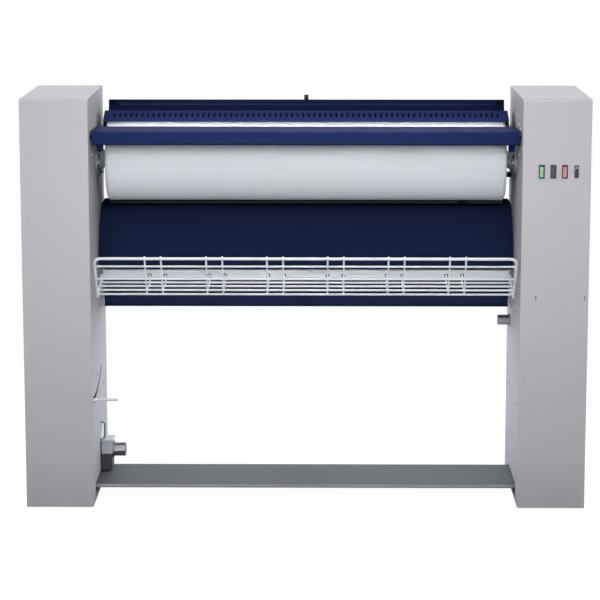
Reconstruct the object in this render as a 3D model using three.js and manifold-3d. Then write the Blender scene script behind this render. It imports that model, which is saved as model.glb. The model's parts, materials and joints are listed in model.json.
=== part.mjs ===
// Chest ironer. Two cabinet columns carry a padded roller, a heated chest that wraps the roller's rear
// side, a tilting feed board, a perforated hood, a delivery chute with a wire basket, and a foot plate.
// Millimetres. +X right, front towards -Y, +Z up, origin on the floor below the middle of the machine.
// Places along the depth are given as insets behind the front plane.
import * as THREE from "three";
import { mergeGeometries, mergeVertices } from "three/addons/utils/BufferGeometryUtils.js";
import Module from "manifold-3d";

const wasm = await Module();
wasm.setup();

// Overall
const machineWidth = 1468;
const machineDepth = 430;
const machineHeight = 1080;
const columnWidth = 176;

// Sheet metal, fits and fineness
const sheet = 2;
const skin = 1.5;
const bendRadius = 3;
const seatGap = 0.3;
const runGap = 0.6;
const slipGap = 3;
const overrun = 6;
const roundSides = 22;
const boltSides = 12;
const pinSides = 8;
const hexSides = 6;
const arcFineness = 2;
const longArcFineness = 4;
const ribFineness = 6;
const bendSteps = 3;
const mergeShare = 0.001;

// Column
const faceInset = 3;
const floorGap = 4;
const flangeDepth = 24;
const topBend = 6;
const louvreWidth = 90;
const louvreHeight = 6;
const louvrePitch = 16;
const louvreCount = 9;
const louvreDrop = 120;
const footHeight = 14;
const footRadius = 20;
const footPad = 7;
const footNeck = 9;
const footStem = 5;
const footStemHeight = 28;
const footInset = 45;

// Roller
const rollerRadius = 110;
const paddingThickness = 14;
const paddingShoulder = 9;
const paddingLip = 6;
const paddingSides = 42;
const rollerEndGap = 26.5;
const rollerDrop = 185;
const drumWall = 4;
const drumDisc = 10;
const journalRadius = 23;
const journalFlange = 52;
const journalSpigot = 30;
const leftJournalReach = 42;
const rightJournalReach = 112;
const bearingThickness = 5;
const bearingBoss = 27;
const bearingBossProud = 9.5;
const bearingHalfLength = 92;
const bearingHalfHeight = 40;
const bearingBoltSpan = 76;
const bearingBoltRadius = 6;
const bearingBoltHead = 5;
const bearingNeck = 44;
const bearingNeckReach = 15;

// Heated chest
const chestGap = 1;
const chestThickness = 8;
const chestHalfGap = 4;
const chestFrontAngle = -97;
const chestTopAngle = 24;
const ribHeight = 11;
const ribThickness = 6;
const ribCount = 5;
const ribFrontAngle = -62;
const ribTopAngle = 20;
const ribFoot = 26;
const pivotAngle = 30;
const pivotLift = 16;
const pivotRadius = 8;
const pivotBoss = 13;
const bushFlange = 14;
const bushNeck = 11;
const bushThickness = 4;
const carrierBarHeight = 40;
const carrierBarDepth = 5;
const elementRadius = 3.25;
const elementLift = 1.4;
const elementEnd = 24;
const elementBend = 11;
const elementAngles = [-58, -46, -34, -22];
const insulationThickness = 5;
const insulationGap = 1.5;
const chestSwing = 7;

// Rear cover with its folded top channel, and the members across the machine
const rearCoverEndGap = 19;
const rearBend = 2.25;
const channelTopDrop = 37;
const channelDepth = 14;
const channelStep = 5.5;
const channelBand = 11.5;
const channelFold = 7;
const channelFace = 24;
const crossHeight = 40;
const crossDepth = 10;
const crossDrop = 115;
const tieSize = 50;
const tieWall = 3;
const tieDrop = 271;
const knobRadius = 6;
const knobHeight = 13;
const knobStem = 2.5;
const knobStemLength = 9;
const knobSides = 18;
const knobGripShare = 0.12;

// Hood
const hoodReach = 55;
const hoodClearance = 13;
const hoodRun = 58;
const hoodRise = 19.6;
const hoodLip = 4;
const hoodRoofFall = 17;
const cheekThickness = 2;
const slotCount = 70;
const slotWidth = 5;
const slotSpan = 1021;
const slotStartShare = 0.27;
const slotEndShare = 0.74;
const slotFineness = 1;
const hoodBossRadius = 7;
const hoodBossBehind = 50;
const hoodBossAbove = 70;
const hoodCheekFoot = 14;
const hoodCheekRise = 20;
const hoodCheekBack = 21;

// Feed board
const boardEndGap = 5.5;
const boardDepth = 140;
const boardHeight = 35.5;
const boardDrop = 12;
const boardNipGap = 15;
const boardRearDrop = 22;
const boardReturn = 14;
const boardBend = 5;
const boardEnd = 3;
const boardPinInset = 22;
const boardPinRadius = 5;
const cheekPlate = 12;
const cheekPlateGap = 0.8;
const cheekPlateDrop = 23;
const cheekPlateLength = 58;
const cheekPlateRearGap = 22;

// Chute, rail and lower panel
const chuteEndGap = 3;
const chuteRoom = 6;
const chuteRearGap = 6;
const chuteFlat = 116;
const chuteDrop = 164.5;
const chuteFront = 195;
const chuteKneeShare = 0.52;
const chuteKneeDrop = 42.8;
const chuteBends = [90, 145, 12];
const chuteBendSteps = 5;
const railEndGap = 17;
const railHeight = 22;
const railLip = 6.5;
const railProud = 2;
const railTop = 30;
const railHoleWidth = 11;
const railHoleHeight = 9;
const railHoleDrop = 13;
const railHoleRound = 4;
const lowerPanelInset = 367;
const lowerPanelDrop = 289;
const lowerPanelFlange = 20;

// Wire basket
const basketEndGap = 6.3;
const topWire = 4;
const rowWire = 2.8;
const ribWire = 2.3;
const weld = 0.8;
const wireSides = 5;
const wireBend = 9;
const wireBendSteps = 2;
const ribBendSteps = 1;
const basketFront = 15;
const basketRise = 59.5;
const basketCorner = 16;
const basketRowShares = [0.19, 0.5, 0.775, 0.88];
const basketFloorInset = 130;
const basketSideFoot = 95;
const basketSideFall = 60;
const basketFloorDrop = 36;
const basketHookBack = 8;
const basketHookTip = 8;
const basketPairs = [58, 100, 216, 258, 375.5, 417.5];

// Foot plate
const plateFront = 85;
const plateDepth = 228;
const plateTop = 45.4;
const plateLip = 10;
const plateBend = 3;
const plateReach = 12;
const plateSlotAbove = 5;
const plateSlotBelow = 15;
const plateSlotEnd = 6;
const plateArm = 3;
const plateArmBack = 25;
const plateArmRise = 30;
const plateArmWidth = 12;
const plateStub = 6;
const plateStubReach = 18;

// Release lever, link, crank and pressure spring in the left column
const leverInset = 95;
const leverHeight = 686;
const leverLength = 403.3;
const leverRestAngle = -99.3;
const leverTravel = 36;
const leverStub = 6;
const leverHub = 20;
const leverHubStart = 3;
const leverHubThickness = 11;
const leverBarStart = 6;
const leverBarThickness = 5;
const leverBarWidth = 24;
const leverBarTip = 10;
const leverSlotWidth = 13;
const handleRadius = 4;
const handleReach = 65;
const handleCollar = 5.5;
const handleCollarLength = 4;
const linkArm = 12;
const linkPin = 4;
const linkPinLength = 14;
const linkStart = 18;
const linkThickness = 5;
const linkEye = 9;
const linkOpenGap = 1.6;
const crankStart = 30;
const crankThickness = 6;
const crankHub = 15;
const crankWidth = 18;
const crankRise = 67.6;
const crankReach = 187;
const springRadius = 9;
const springWire = 1.5;
const springTurns = 6;
const springTurnSteps = 8;
const springWireSides = 5;
const springSeatThickness = 3;
const springPad = 12;
const springHeight = 46;
const springReach = 142;
const springPadDrop = 14;

// Drive and electrics in the right column
const gearStart = 36;
const gearThickness = 70;
const gearRadius = 58;
const gearCaseRadius = 52;
const gearCaseInset = 6;
const wormRadius = 34;
const wormCaseRadius = 41;
const wormAhead = 82;
const wormRise = 60;
const motorRadius = 52;
const motorFin = 6;
const motorFinCount = 12;
const motorLength = 170;
const motorBell = 16;
const motorCowl = 40;
const cowlRound = 9;
const torqueThickness = 6;
const torqueWidth = 40;
const torqueReach = 96;
const torqueRoot = 52;
const torqueLug = 13;
const controlWidth = 130;
const controlHeight = 300;
const controlDepth = 240;
const controlFloor = 120;
const controlInset = 120;
const controlWall = 1.5;

// Switches on the right column
const switchHeight = 35.5;
const switchDrop = 185.25;
const switchFirst = 49;
const switchPitch = 29.8;
const rockerCount = 3;
const switchCount = 4;
const rockerWidth = 9;
const rockerHeight = 27.5;
const rockerBorder = 2.4;
const rockerRoom = 0.8;
const rockerDish = 1.7;
const rockerBody = 9;
const rockerShoulder = 3.6;
const rockerPivot = 6;
const rockerTilt = 7;
const rockerPin = 1.2;
const housingDepth = 22;
const housingWall = 1.2;
const bezelProud = 3;
const bezelRim = 1.2;
const selectorWidth = 12;
const selectorHeight = 33;
const selectorTravel = 20;
const selectorKnobHeight = 7;

// Fittings on the inner walls
const supplyInset = 216;
const supplyDepth = 60;
const supplyFoot = 52;
const supplySplit = 96;
const supplyTop = 131;
const supplyCap = 3;
const supplyCapOver = 3;
const supplyWallGap = 3;
const supplyWidth = 29;
const spigotRadius = 19.5;
const spigotBore = 15;
const spigotLength = 35;
const spigotHeight = 103.5;
const leadRadius = 2;
const leadRise = 44;
const leadBend = 6;
const leadOut = 9;
const leadSides = 8;
const nippleInset = 330;
const nippleHeight = 448;
const nippleRadius = 14;
const nippleFlange = 16.5;
const nippleFlangeThickness = 6;
const nippleReach = 34;
const nippleBore = 9;

// Places worked out from the sizes
const frontY = -machineDepth / 2;
const rearY = machineDepth / 2;
const outerX = machineWidth / 2;
const wallX = outerX - columnWidth;
const wallBackX = wallX + sheet;
const faceY = frontY + faceInset;
const coverBackY = faceY + skin;
const crossRearY = rearY - sheet;
const rearSheetY = crossRearY - crossDepth - seatGap - skin / 2;
const insulationRearY = rearSheetY - skin / 2 - seatGap;
const ribOuter = rollerRadius + chestGap + chestThickness + seatGap + ribHeight;
const switchCentre = machineHeight - switchDrop;
const rollerY = insulationRearY - insulationThickness - insulationGap - ribOuter;
const rollerZ = machineHeight - rollerDrop;
const rollerHalf = wallX - rollerEndGap;
const drumRadius = rollerRadius - paddingThickness;
const drumHalf = rollerHalf - paddingLip;
const chestInner = rollerRadius + chestGap;
const chestOuter = chestInner + chestThickness;
const chestHalf = rollerHalf - chestHalfGap;
const ribRearY = insulationRearY - insulationThickness - chestSwing;
const pivotReach = chestOuter + pivotLift;
const pivotY = rollerY + pivotReach * Math.cos(THREE.MathUtils.degToRad(pivotAngle));
const pivotZ = rollerZ + pivotReach * Math.sin(THREE.MathUtils.degToRad(pivotAngle));
const coverHalf = wallX - rearCoverEndGap;
const channelTopZ = machineHeight - channelTopDrop;
const channelFrontY = rearSheetY - channelDepth - channelStep;
const boardHalf = wallX - boardEndGap;
const boardTopZ = rollerZ + rollerRadius - boardDrop;
const boardBottomZ = boardTopZ - boardHeight;
const boardLowZ = boardTopZ - boardRearDrop - rollerZ;
const boardRearY = rollerY - Math.sqrt((rollerRadius + boardNipGap) ** 2 - boardLowZ ** 2) + seatGap;
const boardFrontY = boardRearY - boardDepth;
const boardPinY = boardFrontY + boardPinInset;
const boardPinZ = boardBottomZ + boardHeight / 2;
const chuteTopZ = rollerZ - chestOuter - chuteRoom;
const chuteHalf = wallX - chuteEndGap;
const railTopZ = chuteTopZ - chuteDrop;
const railY = frontY + chuteFront;
const railHoleZ = railTopZ - railHoleDrop;
const railHalf = wallX - railEndGap;
const basketHalf = wallX - basketEndGap;
const plateY = frontY + plateFront;
const platePivotY = plateY + plateDepth + plateArmBack;
const platePivotZ = plateTop + plateArmRise;
const leverY = frontY + leverInset;

const colours = {
  shell: { color: 0xc5c4c9, roughness: 0.5, metalness: 0.1 },
  navy: { color: 0x24305c, roughness: 0.45, metalness: 0.1 },
  padding: { color: 0xdadde1, roughness: 0.95, metalness: 0 },
  steel: { color: 0x9a9da1, roughness: 0.35, metalness: 0.9 },
  zinc: { color: 0xb9bcc0, roughness: 0.4, metalness: 0.7 },
  chrome: { color: 0xd5d7da, roughness: 0.12, metalness: 1 },
  cast: { color: 0x35363a, roughness: 0.6, metalness: 0.5 },
  white: { color: 0xe4e6ea, roughness: 0.35, metalness: 0 },
  black: { color: 0x2a2b2f, roughness: 0.5, metalness: 0 },
  grey: { color: 0x7f8186, roughness: 0.55, metalness: 0.2 },
  green: { color: 0x9bcd9b, roughness: 0.3, metalness: 0 },
  red: { color: 0xd28796, roughness: 0.3, metalness: 0 },
  mat: { color: 0xc9b98a, roughness: 1, metalness: 0 },
};

// Turns a closed geometry into a solid with its faces pointing out.
function solid(geometry) {
  const bare = geometry.index ? geometry.toNonIndexed() : geometry.clone();
  bare.deleteAttribute("normal");
  bare.deleteAttribute("uv");
  const merged = mergeVertices(bare, seatGap * mergeShare);
  const corners = new Uint32Array(merged.index.array);
  const vertProperties = merged.attributes.position.array;
  const made = new wasm.Manifold(new wasm.Mesh({ numProp: 3, vertProperties, triVerts: corners }));
  if (made.volume() > 0) return made;
  for (let i = 0; i < corners.length; i += 3) {
    [corners[i + 1], corners[i + 2]] = [corners[i + 2], corners[i + 1]];
  }
  return new wasm.Manifold(new wasm.Mesh({ numProp: 3, vertProperties, triVerts: corners }));
}

function geometryOf(body) {
  const mesh = body.getMesh();
  const geometry = new THREE.BufferGeometry();
  geometry.setAttribute("position", new THREE.BufferAttribute(mesh.vertProperties, 3));
  geometry.setIndex(new THREE.BufferAttribute(mesh.triVerts, 1));
  return geometry;
}

function join(bodies) {
  return bodies.reduce((whole, body) => whole.add(body));
}

function cut(body, cutters) {
  return cutters.reduce((rest, cutter) => rest.subtract(cutter), body);
}

function outline(points) {
  return new THREE.Shape(points.map(([u, v]) => new THREE.Vector2(u, v)));
}

// Extrusions of an outline: along X it is drawn in (Y, Z), along Y in (X, Z), along Z in (X, Y).
const alongX = new THREE.Matrix4().set(0, 0, 1, 0, 1, 0, 0, 0, 0, 1, 0, 0, 0, 0, 0, 1);
const alongY = new THREE.Matrix4().set(1, 0, 0, 0, 0, 0, -1, 0, 0, 1, 0, 0, 0, 0, 0, 1);

function extruded(shape, depth, curveSegments = arcFineness) {
  return new THREE.ExtrudeGeometry(shape, { depth, bevelEnabled: false, curveSegments });
}

function barX(shape, fromX, toX, fineness = arcFineness) {
  const low = Math.min(fromX, toX);
  const geometry = extruded(shape, Math.abs(toX - fromX), fineness);
  return solid(geometry.applyMatrix4(alongX).translate(low, 0, 0));
}

function barY(shape, fromY, toY) {
  const geometry = extruded(shape, toY - fromY, slotFineness);
  return solid(geometry.applyMatrix4(alongY).translate(0, toY, 0));
}

function barZ(shape, fromZ, toZ) {
  return solid(extruded(shape, toZ - fromZ).translate(0, 0, fromZ));
}

function block(x0, x1, y0, y1, z0, z1) {
  const geometry = new THREE.BoxGeometry(Math.abs(x1 - x0), y1 - y0, z1 - z0);
  return solid(geometry.translate((x0 + x1) / 2, (y0 + y1) / 2, (z0 + z1) / 2));
}

// Revolves a list of [radius, place] points about a line along X or Z. It starts and ends on the line, or
// closes on itself.
function turned(profile, sides) {
  const ring = profile[0][0] > 0 ? [...profile, profile[0]] : profile;
  return new THREE.LatheGeometry(ring.map(([radius, place]) => new THREE.Vector2(radius, place)), sides);
}

function turnedX(profile, y, z, sides = roundSides) {
  return solid(turned(profile, sides).rotateZ(-Math.PI / 2).translate(0, y, z));
}

function turnedZ(profile, x, y, sides = roundSides) {
  return solid(turned(profile, sides).rotateX(Math.PI / 2).translate(x, y, 0));
}

function rod(radius, fromX, toX, y, z, sides = roundSides) {
  const geometry = new THREE.CylinderGeometry(radius, radius, Math.abs(toX - fromX), sides);
  return solid(geometry.rotateZ(Math.PI / 2).translate((fromX + toX) / 2, y, z));
}

// Outline of a bent sheet: the middle line's corners are rounded, and each side lies half a thickness off.
// The bend is one radius, or a list with one for each corner, and no wider than its sides leave room for.
function bentSheet(line, thickness, bends, steps = bendSteps) {
  const samples = [];
  const way = (p, q) => new THREE.Vector2(q[0] - p[0], q[1] - p[1]).normalize();
  const left = (d) => new THREE.Vector2(-d.y, d.x);
  const span = (p, q) => Math.hypot(q[0] - p[0], q[1] - p[1]);
  line.forEach((point, i) => {
    const here = new THREE.Vector2(point[0], point[1]);
    if (i === 0 || i === line.length - 1) {
      const d = i === 0 ? way(line[0], line[1]) : way(line[i - 1], line[i]);
      samples.push([here, left(d)]);
      return;
    }
    const before = way(line[i - 1], point);
    const after = way(point, line[i + 1]);
    const turn = Math.atan2(before.cross(after), before.dot(after));
    const asked = Array.isArray(bends) ? bends[i - 1] : bends;
    const room = Math.min(
      span(line[i - 1], point) / (i === 1 ? 1 : 2),
      span(point, line[i + 1]) / (i === line.length - 2 ? 1 : 2),
    );
    const bend = Math.min(asked, room / Math.tan(Math.abs(turn) / 2));
    const start = here.clone().addScaledVector(before, -bend * Math.tan(Math.abs(turn) / 2));
    const centre = start.clone().addScaledVector(left(before), Math.sign(turn) * bend);
    for (let k = 0; k <= steps; k += 1) {
      const normal = left(before).rotateAround(new THREE.Vector2(), (turn * k) / steps);
      samples.push([centre.clone().addScaledVector(normal, -Math.sign(turn) * bend), normal]);
    }
  });
  const side = (off) => samples.map(([p, n]) => p.clone().addScaledVector(n, (off * thickness) / 2));
  return new THREE.Shape([...side(1), ...side(-1).reverse()]);
}

function roundedBox(u0, u1, v0, v1, radius) {
  const shape = new THREE.Shape();
  shape.absarc(u1 - radius, v0 + radius, radius, -Math.PI / 2, 0);
  shape.absarc(u1 - radius, v1 - radius, radius, 0, Math.PI / 2);
  shape.absarc(u0 + radius, v1 - radius, radius, Math.PI / 2, Math.PI);
  shape.absarc(u0 + radius, v0 + radius, radius, Math.PI, Math.PI * 1.5);
  return shape;
}

// Bar with round ends between two places, the ends having their own radii.
function eyeBar(from, to, fromRadius, toRadius) {
  const angle = Math.atan2(to[1] - from[1], to[0] - from[0]);
  const shape = new THREE.Shape();
  shape.absarc(from[0], from[1], fromRadius, angle + Math.PI / 2, angle + Math.PI * 1.5);
  shape.absarc(to[0], to[1], toRadius, angle - Math.PI / 2, angle + Math.PI / 2);
  return shape;
}

// Path of a wire: straight runs with rounded corners, with rings only where the wire turns.
class WirePath extends THREE.Curve {
  constructor(corners, bend, steps) {
    super();
    this.rings = [];
    corners.forEach((corner, i) => {
      if (i === 0 || i === corners.length - 1) {
        const [p, q] = i === 0 ? [corner, corners[1]] : [corners[i - 1], corner];
        this.rings.push([corner, q.clone().sub(p).normalize()]);
        return;
      }
      const before = corner.clone().sub(corners[i - 1]).normalize();
      const after = corners[i + 1].clone().sub(corner).normalize();
      const start = corner.clone().addScaledVector(before, -bend);
      const end = corner.clone().addScaledVector(after, bend);
      const arc = new THREE.QuadraticBezierCurve3(start, corner, end);
      for (let k = 0; k <= steps; k += 1) {
        this.rings.push([arc.getPoint(k / steps), arc.getTangent(k / steps)]);
      }
    });
  }

  ringAt(u) {
    return this.rings[Math.round(u * (this.rings.length - 1))];
  }

  getPointAt(u) {
    return this.ringAt(u)[0].clone();
  }

  getTangentAt(u) {
    return this.ringAt(u)[1].clone();
  }
}

// Oval or round outline with flats at its sides.
function oval(u, v, halfWidth, halfHeight, sides) {
  const points = [];
  for (let i = 0; i < sides; i += 1) {
    const angle = (2 * Math.PI * (i + 1 / 2)) / sides;
    points.push([u + halfWidth * Math.cos(angle), v + halfHeight * Math.sin(angle)]);
  }
  return outline(points);
}

function wire(corners, radius, bend, sides = wireSides, steps = wireBendSteps) {
  const path = new WirePath(corners.map(([x, y, z]) => new THREE.Vector3(x, y, z)), bend, steps);
  const options = { steps: path.rings.length - 1, extrudePath: path };
  return solid(new THREE.ExtrudeGeometry(oval(0, 0, radius, radius, sides), options));
}

const machine = new THREE.Group();

function place(name, body, finish) {
  const mesh = new THREE.Mesh(geometryOf(body), new THREE.MeshStandardMaterial(finish));
  mesh.name = name;
  machine.add(mesh);
}

const columnSides = { left: -1, right: 1 };

// Column shells

function wallHoles(side) {
  const through = [side * (wallX - overrun), side * (wallBackX + overrun)];
  const slotY = [plateY - plateSlotEnd, plateY + plateDepth + plateSlotEnd];
  const slotZ = [plateTop - plateLip - plateSlotBelow, plateTop + plateSlotAbove];
  const plateSlot = roundedBox(...slotY, ...slotZ, bendRadius);
  const holes = [
    barX(plateSlot, ...through),
    rod(bearingNeck + runGap, ...through, rollerY, rollerZ),
    rod(bushNeck + runGap, ...through, pivotY, pivotZ, boltSides),
    rod(boardPinRadius + seatGap, ...through, boardPinY, boardPinZ, boltSides),
  ];
  if (side > 0) return holes;
  const lead = [frontY + supplyInset + supplyDepth / 2, supplyTop + supplyCap + leadRise];
  holes.push(barX(leverSlot(), ...through, longArcFineness));
  holes.push(rod(leadRadius + runGap, ...through, ...lead, boltSides));
  return holes;
}

function leverPoint(travel, radius) {
  const angle = THREE.MathUtils.degToRad(leverRestAngle + travel);
  return [leverY + radius * Math.cos(angle), leverHeight + radius * Math.sin(angle)];
}

function leverSlot() {
  const start = THREE.MathUtils.degToRad(leverRestAngle);
  const end = THREE.MathUtils.degToRad(leverRestAngle + leverTravel);
  const half = leverSlotWidth / 2;
  const shape = new THREE.Shape();
  shape.absarc(leverY, leverHeight, leverLength + half, start, end);
  shape.absarc(...leverPoint(leverTravel, leverLength), half, end, end + Math.PI);
  shape.absarc(leverY, leverHeight, leverLength - half, end, start, true);
  shape.absarc(...leverPoint(0, leverLength), half, start + Math.PI, start + 2 * Math.PI);
  return shape;
}

// Room for the cover's bend at the top front corner.
function cornerNotch(side) {
  const back = coverBackY + topBend;
  const low = machineHeight - skin - topBend;
  return block(side * (wallX - overrun), side * (outerX + overrun), faceY, back, low, machineHeight);
}

function innerWall(side) {
  const topZ = machineHeight - skin - seatGap;
  const middle = wallX + sheet / 2;
  const front = coverBackY + seatGap + sheet / 2;
  const rear = rearY - skin - seatGap - sheet / 2;
  const plan = [
    [side * (middle + flangeDepth), front],
    [side * middle, front],
    [side * middle, rear],
    [side * (middle + flangeDepth), rear],
  ];
  const floorX = outerX - skin - bendRadius;
  const floor = block(
    side * wallX, side * floorX, front + sheet / 2, rear - sheet / 2, footHeight, footHeight + sheet,
  );
  const pieces = [barZ(bentSheet(plan, sheet, bendRadius), floorGap, topZ), floor];
  pieces.push(rod(plateStub, side * wallX, side * (wallBackX + plateStubReach), platePivotY, platePivotZ));
  const holes = [...wallHoles(side), cornerNotch(side)];
  for (const y of [frontY + footInset, rearY - footInset]) {
    const hole = oval(side * (wallX + columnWidth / 2), y, footStem + runGap, footStem + runGap, boltSides);
    holes.push(barZ(hole, footHeight - overrun, footHeight + overrun));
  }
  if (side > 0) return cut(join(pieces), holes);
  pieces.push(rod(leverStub, side * wallX, side * (wallX + linkStart - slipGap / 2), leverY, leverHeight));
  pieces.push(springSeat());
  return cut(join(pieces), holes);
}

function springSeat() {
  const [y, z] = springBase();
  const near = -wallX;
  const far = -(wallX + crankStart + crankThickness / 2 + springPad);
  return block(far, near, y - springPad, y + springPad, z - springSeatThickness, z);
}

function frontCover(side) {
  const middleY = faceY + skin / 2;
  const middleZ = machineHeight - skin / 2;
  const line = [[middleY, floorGap], [middleY, middleZ], [rearY, middleZ]];
  const shell = barX(bentSheet(line, skin, topBend), side * wallX, side * outerX);
  if (side < 0) return shell;
  const openings = [];
  for (let i = 0; i < switchCount; i += 1) {
    const width = i < rockerCount ? rockerWidth : selectorWidth - 2 * rockerBorder;
    const half = width / 2 + housingWall + rockerRoom + seatGap;
    const tall = (switchHeight - 2 * bezelRim) / 2;
    const x = switchX(i);
    openings.push(roundedBox(x - half, x + half, switchCentre - tall, switchCentre + tall, bezelRim));
  }
  return cut(shell, openings.map((hole) => barY(hole, faceY - overrun, coverBackY + overrun)));
}

function sideCover(side) {
  const middle = outerX - skin / 2;
  const front = coverBackY + seatGap + skin / 2;
  const rear = rearY - skin - seatGap - skin / 2;
  const plan = [
    [side * (middle - flangeDepth), front],
    [side * middle, front],
    [side * middle, rear],
    [side * (middle - flangeDepth), rear],
  ];
  const lowZ = floorGap;
  const shell = barZ(bentSheet(plan, skin, bendRadius), lowZ, machineHeight - skin - seatGap);
  return cut(shell, [cornerNotch(side)]);
}

function rearCover(side) {
  const middle = wallX + columnWidth / 2;
  const panel = block(
    side * wallX, side * outerX, rearY - skin, rearY, floorGap, machineHeight - skin - seatGap,
  );
  const slots = [];
  const slotX = [side * middle - louvreWidth / 2, side * middle + louvreWidth / 2];
  for (let i = 0; i < louvreCount; i += 1) {
    const z = machineHeight - louvreDrop - i * louvrePitch;
    const slot = roundedBox(...slotX, z - louvreHeight, z, louvreHeight / 2);
    slots.push(barY(slot, rearY - skin - overrun, rearY + overrun));
  }
  return cut(panel, slots);
}

function foot(x, y) {
  const shoulder = footHeight - seatGap;
  const profile = [
    [0, 0], [footRadius, 0], [footRadius, footPad], [footNeck, footPad],
    [footNeck, shoulder], [footStem, shoulder], [footStem, footStemHeight], [0, footStemHeight],
  ];
  return turnedZ(profile, x, y, boltSides);
}

function addColumns() {
  for (const [name, side] of Object.entries(columnSides)) {
    place(`${name}_inner_wall`, innerWall(side), colours.shell);
    place(`${name}_front_cover`, frontCover(side), colours.shell);
    place(`${name}_side_cover`, sideCover(side), colours.shell);
    place(`${name}_rear_cover`, rearCover(side), colours.shell);
    const x = side * (wallX + columnWidth / 2);
    place(`${name}_front_foot`, foot(x, frontY + footInset), colours.black);
    place(`${name}_rear_foot`, foot(x, rearY - footInset), colours.black);
  }
}

// Roller with its journals and bearings

function padding() {
  const profile = [[drumRadius, -rollerHalf]];
  for (let i = 0; i <= bendSteps; i += 1) {
    const angle = (Math.PI / 2) * (i / bendSteps);
    const radius = rollerRadius - paddingShoulder * (1 - Math.sin(angle));
    profile.push([radius, -rollerHalf + paddingShoulder * (1 - Math.cos(angle))]);
  }
  const mirrored = profile.map(([radius, place]) => [radius, -place]).reverse();
  return turnedX([...profile, ...mirrored], rollerY, rollerZ, paddingSides);
}

function drum() {
  const outer = drumRadius - seatGap;
  const inner = outer - drumWall;
  const hub = journalSpigot + seatGap;
  const disc = drumHalf - drumDisc;
  const profile = [
    [hub, -drumHalf], [outer, -drumHalf], [outer, drumHalf], [hub, drumHalf],
    [hub, disc], [inner, disc], [inner, -disc], [hub, -disc],
  ];
  return turnedX(profile, rollerY, rollerZ);
}

function journal(side, reach) {
  const inside = drumHalf - drumDisc;
  const seat = drumHalf + seatGap;
  const face = seat + paddingLip - 2 * seatGap;
  const end = wallX + reach;
  const profile = [
    [0, inside], [journalSpigot, inside], [journalSpigot, seat], [journalFlange, seat],
    [journalFlange, face], [journalRadius, face], [journalRadius, end], [0, end],
  ];
  return turnedX(profile.map(([radius, x]) => [radius, side * x]), rollerY, rollerZ);
}

function bearing(side) {
  const back = wallX - seatGap;
  const face = back - bearingThickness;
  const boss = face - bearingBossProud;
  const neckEnd = wallBackX + bearingNeckReach;
  const plate = oval(rollerY, rollerZ, bearingHalfLength, bearingHalfHeight, roundSides);
  const pieces = [
    barX(plate, side * face, side * back),
    rod(bearingBoss, side * boss, side * back, rollerY, rollerZ),
    rod(bearingNeck, side * back, side * neckEnd, rollerY, rollerZ),
  ];
  for (const y of [rollerY - bearingBoltSpan, rollerY + bearingBoltSpan]) {
    pieces.push(rod(bearingBoltRadius, side * (face - bearingBoltHead), side * back, y, rollerZ, hexSides));
  }
  const bore = [side * (boss - overrun), side * (neckEnd + overrun)];
  return cut(join(pieces), [rod(journalRadius + runGap, ...bore, rollerY, rollerZ)]);
}

function addRoller() {
  place("roller_padding", padding(), colours.padding);
  place("roller_drum", drum(), colours.steel);
  place("left_journal", journal(columnSides.left, leftJournalReach), colours.steel);
  place("right_journal", journal(columnSides.right, rightJournalReach), colours.steel);
  place("left_roller_bearing", bearing(columnSides.left), colours.zinc);
  place("right_roller_bearing", bearing(columnSides.right), colours.zinc);
}

// Heated chest

function onRoller(radius, degrees) {
  const angle = THREE.MathUtils.degToRad(degrees);
  return [rollerY + radius * Math.cos(angle), rollerZ + radius * Math.sin(angle)];
}

function chestPlate() {
  const start = THREE.MathUtils.degToRad(chestFrontAngle);
  const end = THREE.MathUtils.degToRad(chestTopAngle);
  const middle = (chestInner + chestOuter) / 2;
  const half = chestThickness / 2;
  const shape = new THREE.Shape();
  shape.absarc(rollerY, rollerZ, chestOuter, start, end);
  shape.absarc(...onRoller(middle, chestTopAngle), half, end, end + Math.PI);
  shape.absarc(rollerY, rollerZ, chestInner, end, start, true);
  shape.absarc(...onRoller(middle, chestFrontAngle), half, start + Math.PI, start + 2 * Math.PI);
  return barX(shape, -chestHalf, chestHalf, roundSides / 2);
}

function ribOutline() {
  const start = THREE.MathUtils.degToRad(ribFrontAngle);
  const end = THREE.MathUtils.degToRad(ribTopAngle);
  const shape = new THREE.Shape();
  shape.absarc(rollerY, rollerZ, chestOuter + seatGap, end, start, true);
  const footPoint = onRoller(ribOuter, ribFrontAngle);
  shape.lineTo(...footPoint);
  shape.lineTo(ribRearY - ribHeight / 2, footPoint[1] + ribFoot);
  shape.lineTo(ribRearY, footPoint[1] + 2 * ribFoot);
  shape.lineTo(ribRearY, rollerZ + ribFoot);
  shape.absarc(pivotY, pivotZ, pivotBoss, 0, Math.PI);
  return shape;
}

function carrierPlaces() {
  const span = 2 * (chestHalf - ribThickness);
  return Array.from({ length: ribCount }, (_, i) => -span / 2 + (span * i) / (ribCount - 1));
}

function chestCarrier() {
  const pieces = [block(
    -chestHalf, chestHalf, ribRearY - carrierBarDepth, ribRearY,
    rollerZ - carrierBarHeight, rollerZ - ribHeight,
  )];
  for (const x of carrierPlaces()) {
    const span = [x - ribThickness / 2, x + ribThickness / 2];
    pieces.push(barX(ribOutline(), ...span, ribFineness));
  }
  const cutters = [rod(pivotRadius + seatGap, -outerX, outerX, pivotY, pivotZ, boltSides)];
  for (const angle of elementAngles) {
    const [y, z] = onRoller(chestOuter + elementRadius + elementLift, angle);
    cutters.push(rod(elementRadius + runGap, -outerX, outerX, y, z, hexSides));
  }
  return cut(join(pieces), cutters);
}

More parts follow.
